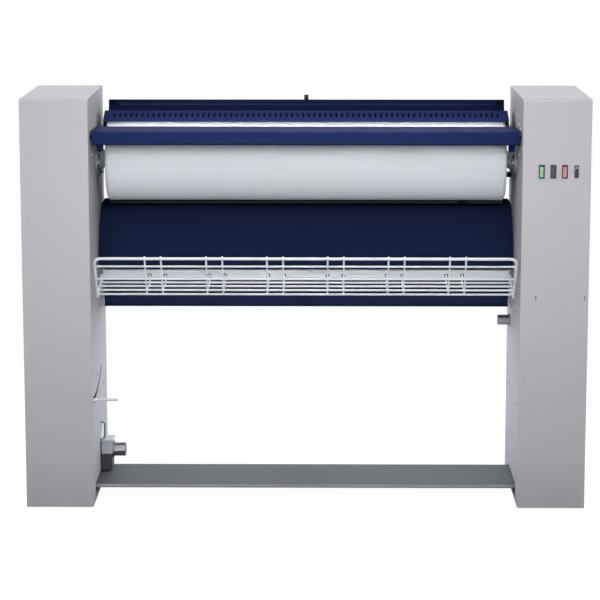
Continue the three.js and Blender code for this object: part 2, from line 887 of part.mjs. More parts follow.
function heatingElement() {
  const reach = chestOuter + elementRadius + elementLift;
  const corners = [];
  elementAngles.forEach((angle, i) => {
    const [y, z] = onRoller(reach, angle);
    const end = chestHalf - elementEnd;
    const terminal = chestHalf - ribThickness;
    const near = i === 0 ? terminal : end;
    const far = i === elementAngles.length - 1 ? terminal : end;
    if (i % 2 === 0) corners.push([near, y, z], [-end, y, z]);
    else corners.push([-end, y, z], [far, y, z]);
  });
  return wire(corners, elementRadius, elementBend, wireSides, bendSteps);
}

function addChest() {
  place("chest_plate", chestPlate(), colours.cast);
  place("chest_carrier", chestCarrier(), colours.steel);
  place("heating_element", heatingElement(), colours.steel);
  const crankEnd = wallX + crankStart + crankThickness + slipGap;
  const shaft = rod(pivotRadius, -crankEnd, wallBackX + bearingNeckReach, pivotY, pivotZ, boltSides);
  place("chest_pivot_shaft", shaft, colours.steel);
  place("chest_crank", chestCrank(), colours.zinc);
  for (const [name, side] of Object.entries(columnSides)) {
    const back = wallX - seatGap;
    const near = back - bushThickness;
    const far = wallBackX + bushThickness;
    const bore = pivotRadius + seatGap;
    const profile = [
      [bore, near], [bushFlange, near], [bushFlange, back], [bushNeck, back], [bushNeck, far], [bore, far],
    ].map(([radius, x]) => [radius, side * x]);
    place(`${name}_pivot_bush`, turnedX(profile, pivotY, pivotZ, boltSides), colours.zinc);
  }
}

// Crank, link and lever that open the chest by hand

function crankPin() {
  return [pivotY - crankReach, pivotZ + crankRise];
}

function linkPinPlace() {
  const [y, z] = crankPin();
  const length = Math.hypot(y - leverY, z - leverHeight);
  const run = Math.sqrt(length ** 2 - linkArm ** 2);
  const turn = Math.atan2(z - leverHeight, y - leverY) + Math.atan2(run, linkArm);
  return [leverY + linkArm * Math.cos(turn), leverHeight + linkArm * Math.sin(turn)];
}

function springBase() {
  const share = springReach / crankReach;
  const y = pivotY - springReach;
  const z = pivotZ + crankRise * share - springPadDrop - springHeight - 2 * seatGap;
  return [y, z];
}

function chestCrank() {
  const hub = [pivotY, pivotZ];
  const pin = crankPin();
  const near = -(wallX + crankStart);
  const far = near - crankThickness;
  const [springY, springZ] = springBase();
  const padTop = springZ + springHeight + 2 * seatGap;
  const bar = barX(eyeBar(hub, pin, crankWidth / 2, crankWidth / 2), near, far);
  const pad = block(far, near, springY - springPad, springY + springPad, padTop, padTop + springPadDrop);
  const pieces = [
    bar,
    pad,
    rod(crankHub, near, far, ...hub),
    rod(linkPin, -(wallX + linkStart - slipGap / 2), far, ...pin, boltSides),
  ];
  return cut(join(pieces), [rod(pivotRadius + seatGap, near + overrun, far - overrun, ...hub, boltSides)]);
}

function pressureSpring() {
  const [y, z] = springBase();
  const x = -(wallX + crankStart + crankThickness / 2);
  const low = z + seatGap + springWire;
  const high = z + seatGap + springHeight - springWire;
  const steps = springTurns * springTurnSteps;
  const path = new THREE.Curve();
  path.getPoint = (u) => {
    const angle = 2 * Math.PI * springTurns * u;
    const climb = low + (high - low) * u;
    return new THREE.Vector3(x + springRadius * Math.cos(angle), y + springRadius * Math.sin(angle), climb);
  };
  const options = { steps, extrudePath: path };
  return solid(new THREE.ExtrudeGeometry(oval(0, 0, springWire, springWire, springWireSides), options));
}

function releaseLever() {
  const hub = [leverY, leverHeight];
  const tip = leverPoint(0, leverLength);
  const start = wallX + leverHubStart;
  const bar = wallX + leverBarStart;
  const pin = [-(start + leverHubThickness / 2), -(start + leverHubThickness + linkPinLength)];
  const pieces = [
    barX(eyeBar(hub, tip, leverBarWidth / 2, leverBarTip), -bar, -(bar + leverBarThickness)),
    rod(leverHub, -start, -(start + leverHubThickness), ...hub),
    rod(linkPin, ...pin, ...linkPinPlace(), boltSides),
  ];
  const bore = rod(leverStub + seatGap, -(start - overrun), -(start + leverHubThickness), ...hub);
  return cut(join(pieces), [bore]);
}

function leverHandle() {
  const bar = wallX + leverBarStart;
  const [y, z] = leverPoint(0, leverLength);
  const tip = wallX - handleReach;
  return join([
    rod(handleRadius, -(bar - seatGap), -tip, y, z, boltSides),
    rod(handleCollar, -(bar - seatGap), -(bar - seatGap - handleCollarLength), y, z, boltSides),
  ]);
}

function releaseLink() {
  const start = -(wallX + linkStart);
  const end = start - linkThickness;
  const low = linkPinPlace();
  const high = crankPin();
  const through = [start + overrun, end - overrun];
  return cut(barX(eyeBar(low, high, linkEye, linkEye), start, end), [
    rod(linkPin + seatGap, ...through, ...low, boltSides),
    rod(linkPin + linkOpenGap, ...through, ...high, boltSides),
  ]);
}

function addRelease() {
  place("release_lever", releaseLever(), colours.zinc);
  place("lever_handle", leverHandle(), colours.white);
  place("release_link", releaseLink(), colours.zinc);
  place("pressure_spring", pressureSpring(), colours.steel);
}

// Rear cover, hood and the members across the machine

function rearChestCover() {
  const back = rearSheetY;
  const front = channelFrontY;
  const mid = front + channelStep;
  const top = channelTopZ - skin / 2;
  const line = [
    [back, chuteTopZ + sheet],
    [back, top],
    [mid, top],
    [mid, top - channelBand],
    [front, top - channelBand - channelFold],
    [front, top - channelBand - channelFold - channelFace],
  ];
  const shell = barX(bentSheet(line, skin, rearBend), -coverHalf, coverHalf);
  const [y] = knobPlace();
  const hole = oval(0, y, knobStem + seatGap, knobStem + seatGap, boltSides);
  return cut(shell, [barZ(hole, top - overrun, top + overrun)]);
}

function knobPlace() {
  return [(channelFrontY + channelStep + rearSheetY) / 2, channelTopZ + seatGap];
}

function knob() {
  const [y, z] = knobPlace();
  const shape = new THREE.Shape();
  for (let i = 0; i < 2 * knobSides; i += 1) {
    const radius = knobRadius * (i % 2 ? 1 : 1 - knobGripShare);
    const angle = (Math.PI * i) / knobSides;
    const point = [radius * Math.cos(angle), y + radius * Math.sin(angle)];
    if (i === 0) shape.moveTo(...point);
    else shape.lineTo(...point);
  }
  const stem = oval(0, y, knobStem, knobStem, boltSides);
  return join([barZ(shape, z, z + knobHeight), barZ(stem, z + skin - knobStemLength, z + skin)]);
}

function hoodLine() {
  const lipZ = rollerZ + Math.sqrt((rollerRadius + hoodClearance) ** 2 - hoodReach ** 2);
  const lipY = rollerY - hoodReach;
  return [
    [lipY, lipZ - hoodLip],
    [lipY, lipZ],
    [lipY + hoodRun, lipZ + hoodRise],
    [channelFrontY - skin / 2 - seatGap, lipZ + hoodRise - hoodRoofFall],
  ];
}

function hoodSlots() {
  const [, from, to] = hoodLine();
  const angle = Math.atan2(to[1] - from[1], to[0] - from[0]);
  const length = Math.hypot(to[0] - from[0], to[1] - from[1]);
  const half = slotWidth / 2;
  const pitch = slotSpan / (slotCount - 1);
  const pieces = [];
  for (let i = 0; i < slotCount; i += 1) {
    const x = i * pitch - slotSpan / 2;
    const shape = new THREE.Shape();
    shape.absarc(x, length * slotStartShare + half, half, Math.PI, 2 * Math.PI);
    shape.absarc(x, length * slotEndShare - half, half, 0, Math.PI);
    pieces.push(extruded(shape, 2 * overrun, slotFineness));
  }
  const all = mergeGeometries(pieces).translate(0, 0, -overrun);
  return solid(all.rotateX(angle).translate(0, from[0], from[1]));
}

function hoodCheek() {
  const [lip, , ridge, rear] = hoodLine();
  const behind = rollerY + hoodBossBehind;
  const above = rollerZ + hoodBossAbove;
  return outline([
    [lip[0], lip[1] - boardRearDrop],
    [behind - hoodCheekFoot, above - hoodCheekFoot],
    [behind + hoodBossRadius, above - hoodCheekFoot],
    [behind + hoodCheekBack, above],
    [pivotY - bushFlange, pivotZ + bushFlange],
    [rear[0], pivotZ + hoodCheekRise],
    [rear[0], rear[1]],
    [ridge[0], ridge[1]],
    [lip[0], lip[1] + hoodLip],
  ]);
}

function hood() {
  const shell = barX(bentSheet(hoodLine(), skin, rearBend), -coverHalf, coverHalf);
  const pieces = [cut(shell, [hoodSlots()])];
  for (const side of Object.values(columnSides)) {
    pieces.push(barX(hoodCheek(), side * (coverHalf - cheekThickness), side * coverHalf));
    const boss = [side * (coverHalf - cheekThickness), side * (wallX - seatGap)];
    pieces.push(rod(hoodBossRadius, ...boss, rollerY + hoodBossBehind, rollerZ + hoodBossAbove, boltSides));
  }
  return join(pieces);
}

function crossMember() {
  const high = machineHeight - crossDrop;
  const low = high - crossHeight;
  const front = crossRearY - crossDepth + sheet / 2;
  const line = [
    [crossRearY, high - sheet / 2],
    [front, high - sheet / 2],
    [front, low + sheet / 2],
    [crossRearY, low + sheet / 2],
  ];
  return barX(bentSheet(line, sheet, bendRadius), -(wallX - seatGap), wallX - seatGap);
}

function tieBeam() {
  const frontEdge = frontY + lowerPanelInset + skin + seatGap;
  const topZ = chuteTopZ - tieDrop + tieSize;
  const rearEdge = frontEdge + tieSize;
  const lowZ = topZ - tieSize;
  const tube = roundedBox(frontEdge, rearEdge, lowZ, topZ, bendRadius);
  const inside = [frontEdge + tieWall, rearEdge - tieWall, lowZ + tieWall, topZ - tieWall];
  tube.holes.push(roundedBox(...inside, bendRadius / 2));
  return barX(tube, -(wallX - seatGap), wallX - seatGap);
}

function insulation() {
  const topZ = rollerZ + ribFoot;
  const lowZ = onRoller(ribOuter, ribFrontAngle)[1];
  return block(
    -chestHalf, chestHalf, insulationRearY - insulationThickness, insulationRearY, lowZ, topZ,
  );
}

function addRear() {
  place("rear_chest_cover", rearChestCover(), colours.navy);
  place("channel_knob", knob(), colours.black);
  place("hood", hood(), colours.navy);
  place("rear_cross_member", crossMember(), colours.zinc);
  place("tie_beam", tieBeam(), colours.zinc);
  place("rear_insulation", insulation(), colours.mat);
}

// Feed board

function boardLine() {
  const front = boardFrontY + skin / 2;
  const rear = boardRearY - skin / 2;
  const top = boardTopZ - skin / 2;
  const low = boardBottomZ + skin / 2;
  const rearLow = boardTopZ - boardRearDrop + skin / 2;
  return [
    [front + boardReturn, low],
    [front, low],
    [front, top],
    [rear, top],
    [rear, rearLow],
    [rear - boardReturn, rearLow],
  ];
}

function feedBoard() {
  const line = boardLine();
  const shell = barX(bentSheet(line, skin, boardBend), -boardHalf, boardHalf);
  const [, low, high, back, backLow] = line;
  const endShape = outline([
    [low[0] + boardBend, low[1]], [backLow[0] - boardBend, backLow[1]], [backLow[0], backLow[1] + boardBend],
    [back[0], back[1] - boardBend], [back[0] - boardBend, back[1]], [high[0] + boardBend, high[1]],
    [high[0], high[1] - boardBend], [low[0], low[1] + boardBend],
  ]);
  const pieces = [shell];
  const cheekRear = boardRearY - cheekPlateRearGap;
  const cheekFront = cheekRear - cheekPlateLength;
  const cheekLow = boardBottomZ - cheekPlateDrop;
  const cheek = new THREE.Shape();
  cheek.moveTo(cheekFront, boardTopZ - skin);
  cheek.lineTo(cheekFront - cheekPlateDrop, boardBottomZ);
  cheek.lineTo(cheekFront, cheekLow);
  const round = cheekPlateDrop / 2;
  cheek.absarc(cheekRear - round, cheekLow + round, round, -Math.PI / 2, 0);
  cheek.lineTo(cheekRear, boardTopZ - skin);
  for (const side of Object.values(columnSides)) {
    const near = rollerHalf + cheekPlateGap;
    pieces.push(barX(endShape, side * (boardHalf - boardEnd), side * boardHalf));
    pieces.push(barX(cheek, side * near, side * (near + cheekPlate)));
  }
  const hole = rod(boardPinRadius + seatGap, -outerX, outerX, boardPinY, boardPinZ, boltSides);
  return cut(join(pieces), [hole]);
}

function boardPin(side) {
  const inner = boardHalf - boardEnd - boardPinRadius;
  const outer = wallBackX + bushThickness;
  return rod(boardPinRadius, side * inner, side * outer, boardPinY, boardPinZ, boltSides);
}

function addFeedBoard() {
  place("feed_board", feedBoard(), colours.navy);
  place("left_board_pin", boardPin(columnSides.left), colours.black);
  place("right_board_pin", boardPin(columnSides.right), colours.black);
}

// Chute, rail and lower panel

function chutePanel() {
  const front = railY + skin;
  const rear = rearY - chuteRearGap;
  const run = rear - chuteFlat - front;
  const line = [
    [rear, chuteTopZ - sheet / 2],
    [front + run, chuteTopZ - sheet / 2],
    [front + run * chuteKneeShare, chuteTopZ - chuteKneeDrop],
    [front, railTopZ + sheet + seatGap],
    [front + railTop, railTopZ + sheet / 2 + seatGap],
  ];
  return barX(bentSheet(line, sheet, chuteBends, chuteBendSteps), -chuteHalf, chuteHalf);
}

function chuteRail() {
  const face = railY + skin / 2;
  const low = railTopZ - railHeight;
  const line = [
    [face + railTop, railTopZ - skin / 2],
    [face, railTopZ - skin / 2],
    [face, low + railLip],
    [face - railProud, low + railLip / 2],
    [face, low + skin / 2],
  ];
  const shell = barX(bentSheet(line, skin, skin), -railHalf, railHalf);
  const holes = [];
  for (const x of ribPlaces()) {
    const half = railHoleWidth / 2;
    const tall = railHoleHeight / 2;
    const hole = roundedBox(x - half, x + half, railHoleZ - tall, railHoleZ + tall, railHoleRound);
    holes.push(barY(hole, railY - overrun, railY + overrun));
  }
  return cut(shell, holes);
}

function lowerPanel() {
  const middle = frontY + lowerPanelInset + skin / 2;
  const low = chuteTopZ - lowerPanelDrop;
  const line = [
    [middle - lowerPanelFlange, low + skin / 2],
    [middle, low + skin / 2],
    [middle, chuteTopZ - sheet - seatGap],
  ];
  return barX(bentSheet(line, skin, bendRadius), -chuteHalf, chuteHalf);
}

function addChute() {
  place("chute_panel", chutePanel(), colours.navy);
  place("chute_rail", chuteRail(), colours.white);
  place("rear_lower_panel", lowerPanel(), colours.navy);
}

// Wire basket

function ribPlaces() {
  return [...basketPairs.map((x) => -x).reverse(), ...basketPairs];
}

function basket() {
  const top = new THREE.Vector2(frontY + basketFront, railTopZ + basketRise);
  const foot = new THREE.Vector2(frontY + basketSideFoot, railTopZ - basketSideFall);
  const hook = new THREE.Vector2(railY, railHoleZ);
  const along = foot.clone().sub(top);
  const touch = rowWire + ribWire - weld;
  const inward = new THREE.Vector2(-along.y, along.x).normalize().multiplyScalar(touch);
  const floorZ = railTopZ - basketFloorDrop;
  const floorY = frontY + basketFloorInset;
  const behind = railY + basketHookBack;
  const reach = basketHalf - topWire;
  const hookX = railHalf + topWire;
  const frame = [
    [-hookX, hook.x, hook.y], [-reach, foot.x, foot.y], [-reach, top.x, top.y],
    [reach, top.x, top.y], [reach, foot.x, foot.y], [hookX, hook.x, hook.y],
  ];
  const pieces = [wire(frame, topWire, basketCorner)];
  const rows = basketRowShares.map((share) => top.clone().addScaledVector(along, share));
  for (const row of rows) {
    pieces.push(wire([[-reach, row.x, row.y], [reach, row.x, row.y]], rowWire, wireBend));
  }
  const climb = (hook.y - foot.y) / (hook.x - foot.x);
  for (const y of [floorY, behind - basketCorner]) {
    const low = floorZ + touch;
    const high = foot.y + climb * (y - foot.x);
    const row = [[-reach, y, high], [-reach, y, low], [reach, y, low], [reach, y, high]];
    pieces.push(wire(row, rowWire, Math.min(wireBend, Math.abs(high - low) / 2)));
  }
  const start = top.clone().add(inward);
  const knee = rows[rows.length - 1].clone().add(inward);
  for (const x of ribPlaces()) {
    const rib = [
      [x, start.x, start.y], [x, knee.x, knee.y], [x, floorY, floorZ],
      [x, behind, floorZ], [x, behind, railHoleZ], [x, railY - basketHookTip, railHoleZ],
    ];
    pieces.push(wire(rib, ribWire, ribWire + weld, wireSides, ribBendSteps));
  }
  return join(pieces);
}

// Foot plate

function footPlate() {
  const front = plateY;
  const rear = plateY + plateDepth;
  const top = plateTop - sheet / 2;
  const low = plateTop - plateLip;
  const line = [
    [front + plateLip, low + sheet / 2], [front + sheet / 2, low + sheet / 2], [front + sheet / 2, top],
    [rear - sheet / 2, top], [rear - sheet / 2, low],
  ];
  const half = wallBackX + plateReach;
  const pieces = [barX(bentSheet(line, sheet, plateBend), -half, half)];
  const root = [rear - 2 * plateArmWidth, plateTop - plateArmWidth / 2];
  const arm = eyeBar(root, [platePivotY, platePivotZ], plateArmWidth / 2, plateArmWidth);
  for (const side of Object.values(columnSides)) {
    pieces.push(barX(arm, side * (half - plateArm), side * half));
  }
  return cut(join(pieces), [rod(plateStub + seatGap, -outerX, outerX, platePivotY, platePivotZ)]);
}

// Drive and electrics in the right column

function gearUnit() {
  const start = wallX + gearStart;
  const end = start + gearThickness;
  const wormY = rollerY - wormAhead;
  const wheel = [rollerY, rollerZ];
  const housing = eyeBar(wheel, [wormY, rollerZ], gearCaseRadius, wormCaseRadius);
  const boss = oval((start + end) / 2, wormY, wormRadius, wormRadius, roundSides);
  const pieces = [
    rod(gearRadius, start, end, ...wheel),
    barX(housing, start + gearCaseInset, end - gearCaseInset),
    barZ(boss, rollerZ - wormRise, rollerZ + wormRise),
  ];
  return cut(join(pieces), [rod(journalRadius + seatGap, start - overrun, end + overrun, ...wheel)]);
}

function driveMotor() {
  const x = wallX + gearStart + gearThickness / 2;
  const y = rollerY - wormAhead;
  const top = rollerZ - wormRise - seatGap;
  const fins = new THREE.Shape();
  for (let i = 0; i < 4 * motorFinCount; i += 1) {
    const radius = i % 4 < 2 ? motorRadius : motorRadius - motorFin;
    const angle = (Math.PI * i) / (2 * motorFinCount);
    const point = [x + radius * Math.cos(angle), y + radius * Math.sin(angle)];
    if (i === 0) fins.moveTo(...point);
    else fins.lineTo(...point);
  }
  const bellZ = top - motorBell;
  const bellSide = top - motorBell / 2;
  const seat = bellZ - weld;
  const bell = [[0, seat], [motorRadius, seat], [motorRadius, bellSide], [wormRadius, top], [0, top]];
  const low = bellZ - motorLength;
  const end = low - motorCowl;
  const wide = motorRadius + sheet;
  const cowlSide = end + cowlRound;
  const cowl = [[0, low + weld], [wide, low + weld], [wide, cowlSide], [wide - cowlRound, end], [0, end]];
  return join([barZ(fins, low, bellZ), turnedZ(bell, x, y), turnedZ(cowl, x, y)]);
}

function torqueArm() {
  const start = wallX + gearStart - seatGap - torqueThickness;
  const end = start + torqueThickness;
  const hub = [rollerY, rollerZ];
  const anchor = [rollerY, rollerZ - torqueReach];
  const arm = barX(eyeBar(hub, anchor, torqueRoot, torqueWidth / 2), start, end);
  const lug = rod(torqueLug, wallBackX + seatGap, end, ...anchor);
  return cut(join([arm, lug]), [rod(journalRadius + runGap, start - overrun, end + overrun, ...hub)]);
}

function controlBox() {
  const near = wallBackX + seatGap;
  const y0 = frontY + controlInset;
  const y1 = y0 + controlDepth;
  const z1 = controlFloor + controlHeight;
  const far = near + controlWidth;
  const walls = block(near, far, y0, y1, controlFloor, z1);
  const inside = [y0 + controlWall, y1 - controlWall, controlFloor + controlWall, z1 - controlWall];
  return walls.subtract(block(near + controlWall, far + overrun, ...inside));
}

function addDrive() {
  place("gear_unit", gearUnit(), colours.grey);
  place("drive_motor", driveMotor(), colours.grey);
  place("torque_arm", torqueArm(), colours.zinc);
  place("control_box", controlBox(), colours.grey);
}

// Switches

function switchX(i) {
  return wallX + switchFirst + i * switchPitch;
}

function switchHousing(i) {
  const x = switchX(i);
  const narrow = i === rockerCount;
  const inside = narrow ? selectorWidth - 2 * rockerBorder : rockerWidth;
  const room = inside / 2 + rockerRoom;
  const tall = narrow ? selectorHeight / 2 : switchHeight / 2;
  const outerHalf = narrow ? selectorWidth / 2 : inside / 2 + rockerBorder + rockerRoom;
  const body = room + housingWall;
  const bodyTall = switchHeight / 2 - bezelRim - seatGap;
  const openTall = rockerHeight / 2 + 2 * rockerRoom;
  const centred = (half, rise, round) => (
    roundedBox(x - half, x + half, switchCentre - rise, switchCentre + rise, round)
  );
  const rim = centred(outerHalf, tall, bezelRim);
  const shell = centred(body, bodyTall, bezelRim / 2);
  const open = centred(room, openTall, bezelRim / 2);
  const back = faceY + housingDepth;
  const whole = join([
    barY(rim, frontY, faceY - seatGap),
    barY(shell, frontY + bezelProud / 2, back),
  ]);
  const cutters = [barY(open, frontY - overrun, back - housingWall)];
  if (!narrow) {
    const across = [x - body - runGap, x + body + runGap];
    cutters.push(rod(rockerPin + seatGap, ...across, rockerPivotY(), switchCentre, pinSides));
  }
  return cut(whole, cutters);
}

function rocker(i) {
  const x = switchX(i);
  const half = rockerHeight / 2;
  const rows = [
    [-rockerDish, half], [0, 0], [-rockerDish, -half], [rockerShoulder, -half], [rockerBody, -half / 2],
    [rockerBody, half / 2], [rockerShoulder, half],
  ].map(([depth, rise]) => new THREE.Vector2(depth - rockerPivot, rise));
  const tilt = THREE.MathUtils.degToRad(rockerTilt);
  const turnedRows = rows.map((point) => point.rotateAround(new THREE.Vector2(), tilt));
  const pivotPlace = rockerPivotY();
  const shape = outline(turnedRows.map((point) => [point.x + pivotPlace, point.y + switchCentre]));
  const pinHalf = rockerWidth / 2 + rockerRoom + housingWall;
  return join([
    barX(shape, x - rockerWidth / 2, x + rockerWidth / 2),
    rod(rockerPin, x - pinHalf, x + pinHalf, pivotPlace, switchCentre, pinSides),
  ]);
}

function rockerPivotY() {
  return frontY + 2 * rockerDish + rockerPivot;
}

function selectorKnob() {
  const x = switchX(rockerCount);
  const room = (selectorWidth - 2 * rockerBorder) / 2;
  const z = switchCentre + selectorTravel / 2;
  const half = selectorKnobHeight / 2;
  const face = roundedBox(x - room, x + room, z - half, z + half, bezelRim / 2);
  return barY(face, frontY + seatGap, faceY + housingDepth - housingWall - seatGap);
}

function addSwitches() {
  const rockers = [["green", colours.green], ["black", colours.black], ["red", colours.red]];
  rockers.forEach(([name, finish], i) => {
    place(`${name}_switch_housing`, switchHousing(i), colours.black);
    place(`${name}_rocker`, rocker(i), finish);
  });
  place("selector_housing", switchHousing(rockerCount), colours.black);
  place("selector_knob", selectorKnob(), colours.grey);
}

// Fittings on the inner walls

function addFittings() {
  const near = -(wallX - supplyWallGap);
  const far = near + supplyWidth;
  const y0 = frontY + supplyInset;
  const y1 = y0 + supplyDepth;
  const capY = [y0 - supplyCapOver, y1 + supplyCapOver];
  const bodyTop = supplyTop - seatGap;
  const lead = [(y0 + y1) / 2, supplyTop + supplyCap + leadRise];
  const lower = join([
    block(near, far, y0, y1, supplyFoot, supplySplit),
    block(-(wallX - seatGap), near, y0 + supplyCapOver, y1 - supplyCapOver, supplyFoot, supplySplit),
  ]);
  place("supply_base", lower, colours.black);
  const spigotSeat = rod(spigotRadius / 2, far - supplyCapOver, far + seatGap, (y0 + y1) / 2, spigotHeight);
  const upper = join([
    block(near, far, y0, y1, supplySplit + seatGap, bodyTop),
    block(near - seatGap, far + supplyCapOver, ...capY, bodyTop - weld, supplyTop + supplyCap),
  ]);
  place("supply_block", cut(upper, [spigotSeat]), colours.zinc);
  const profile = [
    [spigotBore, far + seatGap], [spigotRadius, far + seatGap], [spigotRadius, far + spigotLength - weld],
    [spigotRadius - weld, far + spigotLength], [spigotBore, far + spigotLength],
  ];
  place("supply_spigot", turnedX(profile, (y0 + y1) / 2, spigotHeight), colours.chrome);
  const leadTop = lead[1];
  const leadX = -(wallX - leadOut);
  place("supply_lead", wire([
    [-(wallBackX + leadOut), lead[0], leadTop],
    [leadX, lead[0], leadTop],
    [leadX, lead[0], supplyTop + supplyCap + seatGap],
  ], leadRadius, leadBend, leadSides, bendSteps), colours.black);
  const back = wallX - seatGap;
  const face = back - nippleFlangeThickness;
  const tip = wallX - nippleReach;
  const ring = [
    [nippleBore, back], [nippleFlange, back], [nippleFlange, face],
    [nippleRadius, face], [nippleRadius, tip], [nippleBore, tip],
  ];
  place("cable_nipple", turnedX(ring, frontY + nippleInset, nippleHeight), colours.zinc);
}

addColumns();
addRoller();
addChest();
addRelease();
addRear();
addFeedBoard();
addChute();
place("wire_basket", basket(), colours.white);
place("foot_plate", footPlate(), colours.grey);
addDrive();
addSwitches();
addFittings();

export default machine;
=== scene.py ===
# Chest ironer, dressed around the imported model. Metres, +X right, front towards -Y, +Z up.
import json
import math

import bmesh
import bpy
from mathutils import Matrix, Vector

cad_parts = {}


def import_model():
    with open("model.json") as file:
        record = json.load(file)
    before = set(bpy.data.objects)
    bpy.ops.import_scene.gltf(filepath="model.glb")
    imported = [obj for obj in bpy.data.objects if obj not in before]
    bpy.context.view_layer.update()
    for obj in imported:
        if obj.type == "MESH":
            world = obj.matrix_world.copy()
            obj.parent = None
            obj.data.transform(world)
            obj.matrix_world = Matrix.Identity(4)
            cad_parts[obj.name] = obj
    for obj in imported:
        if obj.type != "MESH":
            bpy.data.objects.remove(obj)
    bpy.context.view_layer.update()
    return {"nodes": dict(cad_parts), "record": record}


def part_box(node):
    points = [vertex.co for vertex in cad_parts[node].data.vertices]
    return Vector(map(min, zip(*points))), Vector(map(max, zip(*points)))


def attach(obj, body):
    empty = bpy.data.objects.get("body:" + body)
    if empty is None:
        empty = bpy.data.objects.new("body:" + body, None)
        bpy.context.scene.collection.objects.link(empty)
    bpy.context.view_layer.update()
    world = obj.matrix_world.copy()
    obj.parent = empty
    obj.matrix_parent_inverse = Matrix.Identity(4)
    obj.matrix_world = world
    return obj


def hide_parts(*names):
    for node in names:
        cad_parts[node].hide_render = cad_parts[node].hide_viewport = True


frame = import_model()

MM = 0.001
TURN = 2 * math.pi
WHITE = (1, 1, 1, 1)
SIDES = (-1, 1)


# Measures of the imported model

def low_corner(node):
    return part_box(node)[0]


def high_corner(node):
    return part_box(node)[1]


def middle(node):
    return (low_corner(node) + high_corner(node)) / 2


WALL_X = low_corner("right_inner_wall").x
ROLLER = middle("roller_padding")
ROLLER_HALF = high_corner("roller_padding").x
ROLLER_RADIUS = high_corner("roller_padding").z - ROLLER.z
DRUM_RADIUS = high_corner("roller_drum").z - ROLLER.z


def srgb(red, green, blue):
    """Linear colour of an 8-bit display colour."""
    def linear(value):
        share = value / 255
        return share / 12.92 if share <= 0.04045 else ((share + 0.055) / 1.055) ** 2.4
    return (linear(red), linear(green), linear(blue), 1)


def shade(colour, factor):
    return (colour[0] * factor, colour[1] * factor, colour[2] * factor, 1)


# Node trees

class Nodes:
    """Short names for building a node tree."""

    def __init__(self, tree):
        self.tree = tree

    def add(self, kind, values=None, **settings):
        node = self.tree.nodes.new(kind)
        for key, value in settings.items():
            setattr(node, key, value)
        for key, value in (values or {}).items():
            self.feed(value, node.inputs[key])
        return node

    def feed(self, value, socket):
        """Links an output to the socket, or sets a plain value on it."""
        if isinstance(value, bpy.types.NodeSocket):
            self.tree.links.new(value, socket)
        else:
            socket.default_value = value

    def noise(self, vector, scale, detail=3.0, roughness=0.5):
        values = {"Vector": vector, "Scale": scale, "Detail": detail, "Roughness": roughness}
        return self.add("ShaderNodeTexNoise", values).outputs["Fac"]

    def math(self, operation, first, second=0.0):
        return self.add("ShaderNodeMath", {0: first, 1: second}, operation=operation).outputs[0]

    def span(self, value, source, target):
        """A value's source range, as (low, high), carried over to its target range."""
        values = {"Value": value, 1: source[0], 2: source[1], 3: target[0], 4: target[1]}
        return self.add("ShaderNodeMapRange", values).outputs[0]

    def stretch(self, vector, scale):
        return self.add("ShaderNodeMapping", {"Vector": vector, "Scale": scale}).outputs["Vector"]

    def mix(self, share, first, second):
        """Colour between two: sockets 0, 6 and 7 of the Mix node are its factor and its colours."""
        node = self.add("ShaderNodeMix", data_type="RGBA")
        for socket, value in ((0, share), (6, first), (7, second)):
            self.feed(value, node.inputs[socket])
        return node.outputs[2]

    def bump(self, height, strength, distance, normal=None):
        values = {"Height": height, "Strength": strength, "Distance": distance}
        if normal is not None:
            values["Normal"] = normal
        return self.add("ShaderNodeBump", values).outputs["Normal"]

    def seen(self):
        """1 for rays from the camera, off glossy surfaces and through glass, otherwise 0."""
        path = self.add("ShaderNodeLightPath")
        seen = self.math("MAXIMUM", path.outputs["Is Camera Ray"], path.outputs["Is Glossy Ray"])
        return self.math("MAXIMUM", seen, path.outputs["Is Transmission Ray"])


class Finish(Nodes):
    """A material's node tree, with its shader."""

    def __init__(self, name):
        self.material = bpy.data.materials.new(name)
        self.material.use_nodes = True
        super().__init__(self.material.node_tree)
        self.shader = self.tree.nodes["Principled BSDF"]

    def place(self, scale=(1, 1, 1)):
        return self.stretch(self.add("ShaderNodeTexCoord").outputs["Object"], scale)

    def into(self, **sockets):
        for key, value in sockets.items():
            self.feed(value, self.shader.inputs[key.replace("_", " ")])


# Materials

MATERIALS = {}
LIGHT_GREY = srgb(194, 193, 197)
NAVY = srgb(33, 45, 87)
# Tone of the painted highlight along the foot plate's front edge
EDGE_HIGHLIGHT_TONE = srgb(170, 171, 175)
# Height and tone of the dark patches near the floor: partly dirt, partly painted shade where the light falls
# off
GRIME_AND_SHADE_HEIGHT = 0.16
GRIME_AND_SHADE_TONE = 0.35
# Blend and depth of that painted highlight
EDGE_HIGHLIGHT_BLEND = 0.002
EDGE_HIGHLIGHT_DEPTH = 0.003
THREAD_PITCH = 0.0016
NOISE_RANGE = (0.3, 0.7)
EVEN_GRAIN = (60, 60, 60)


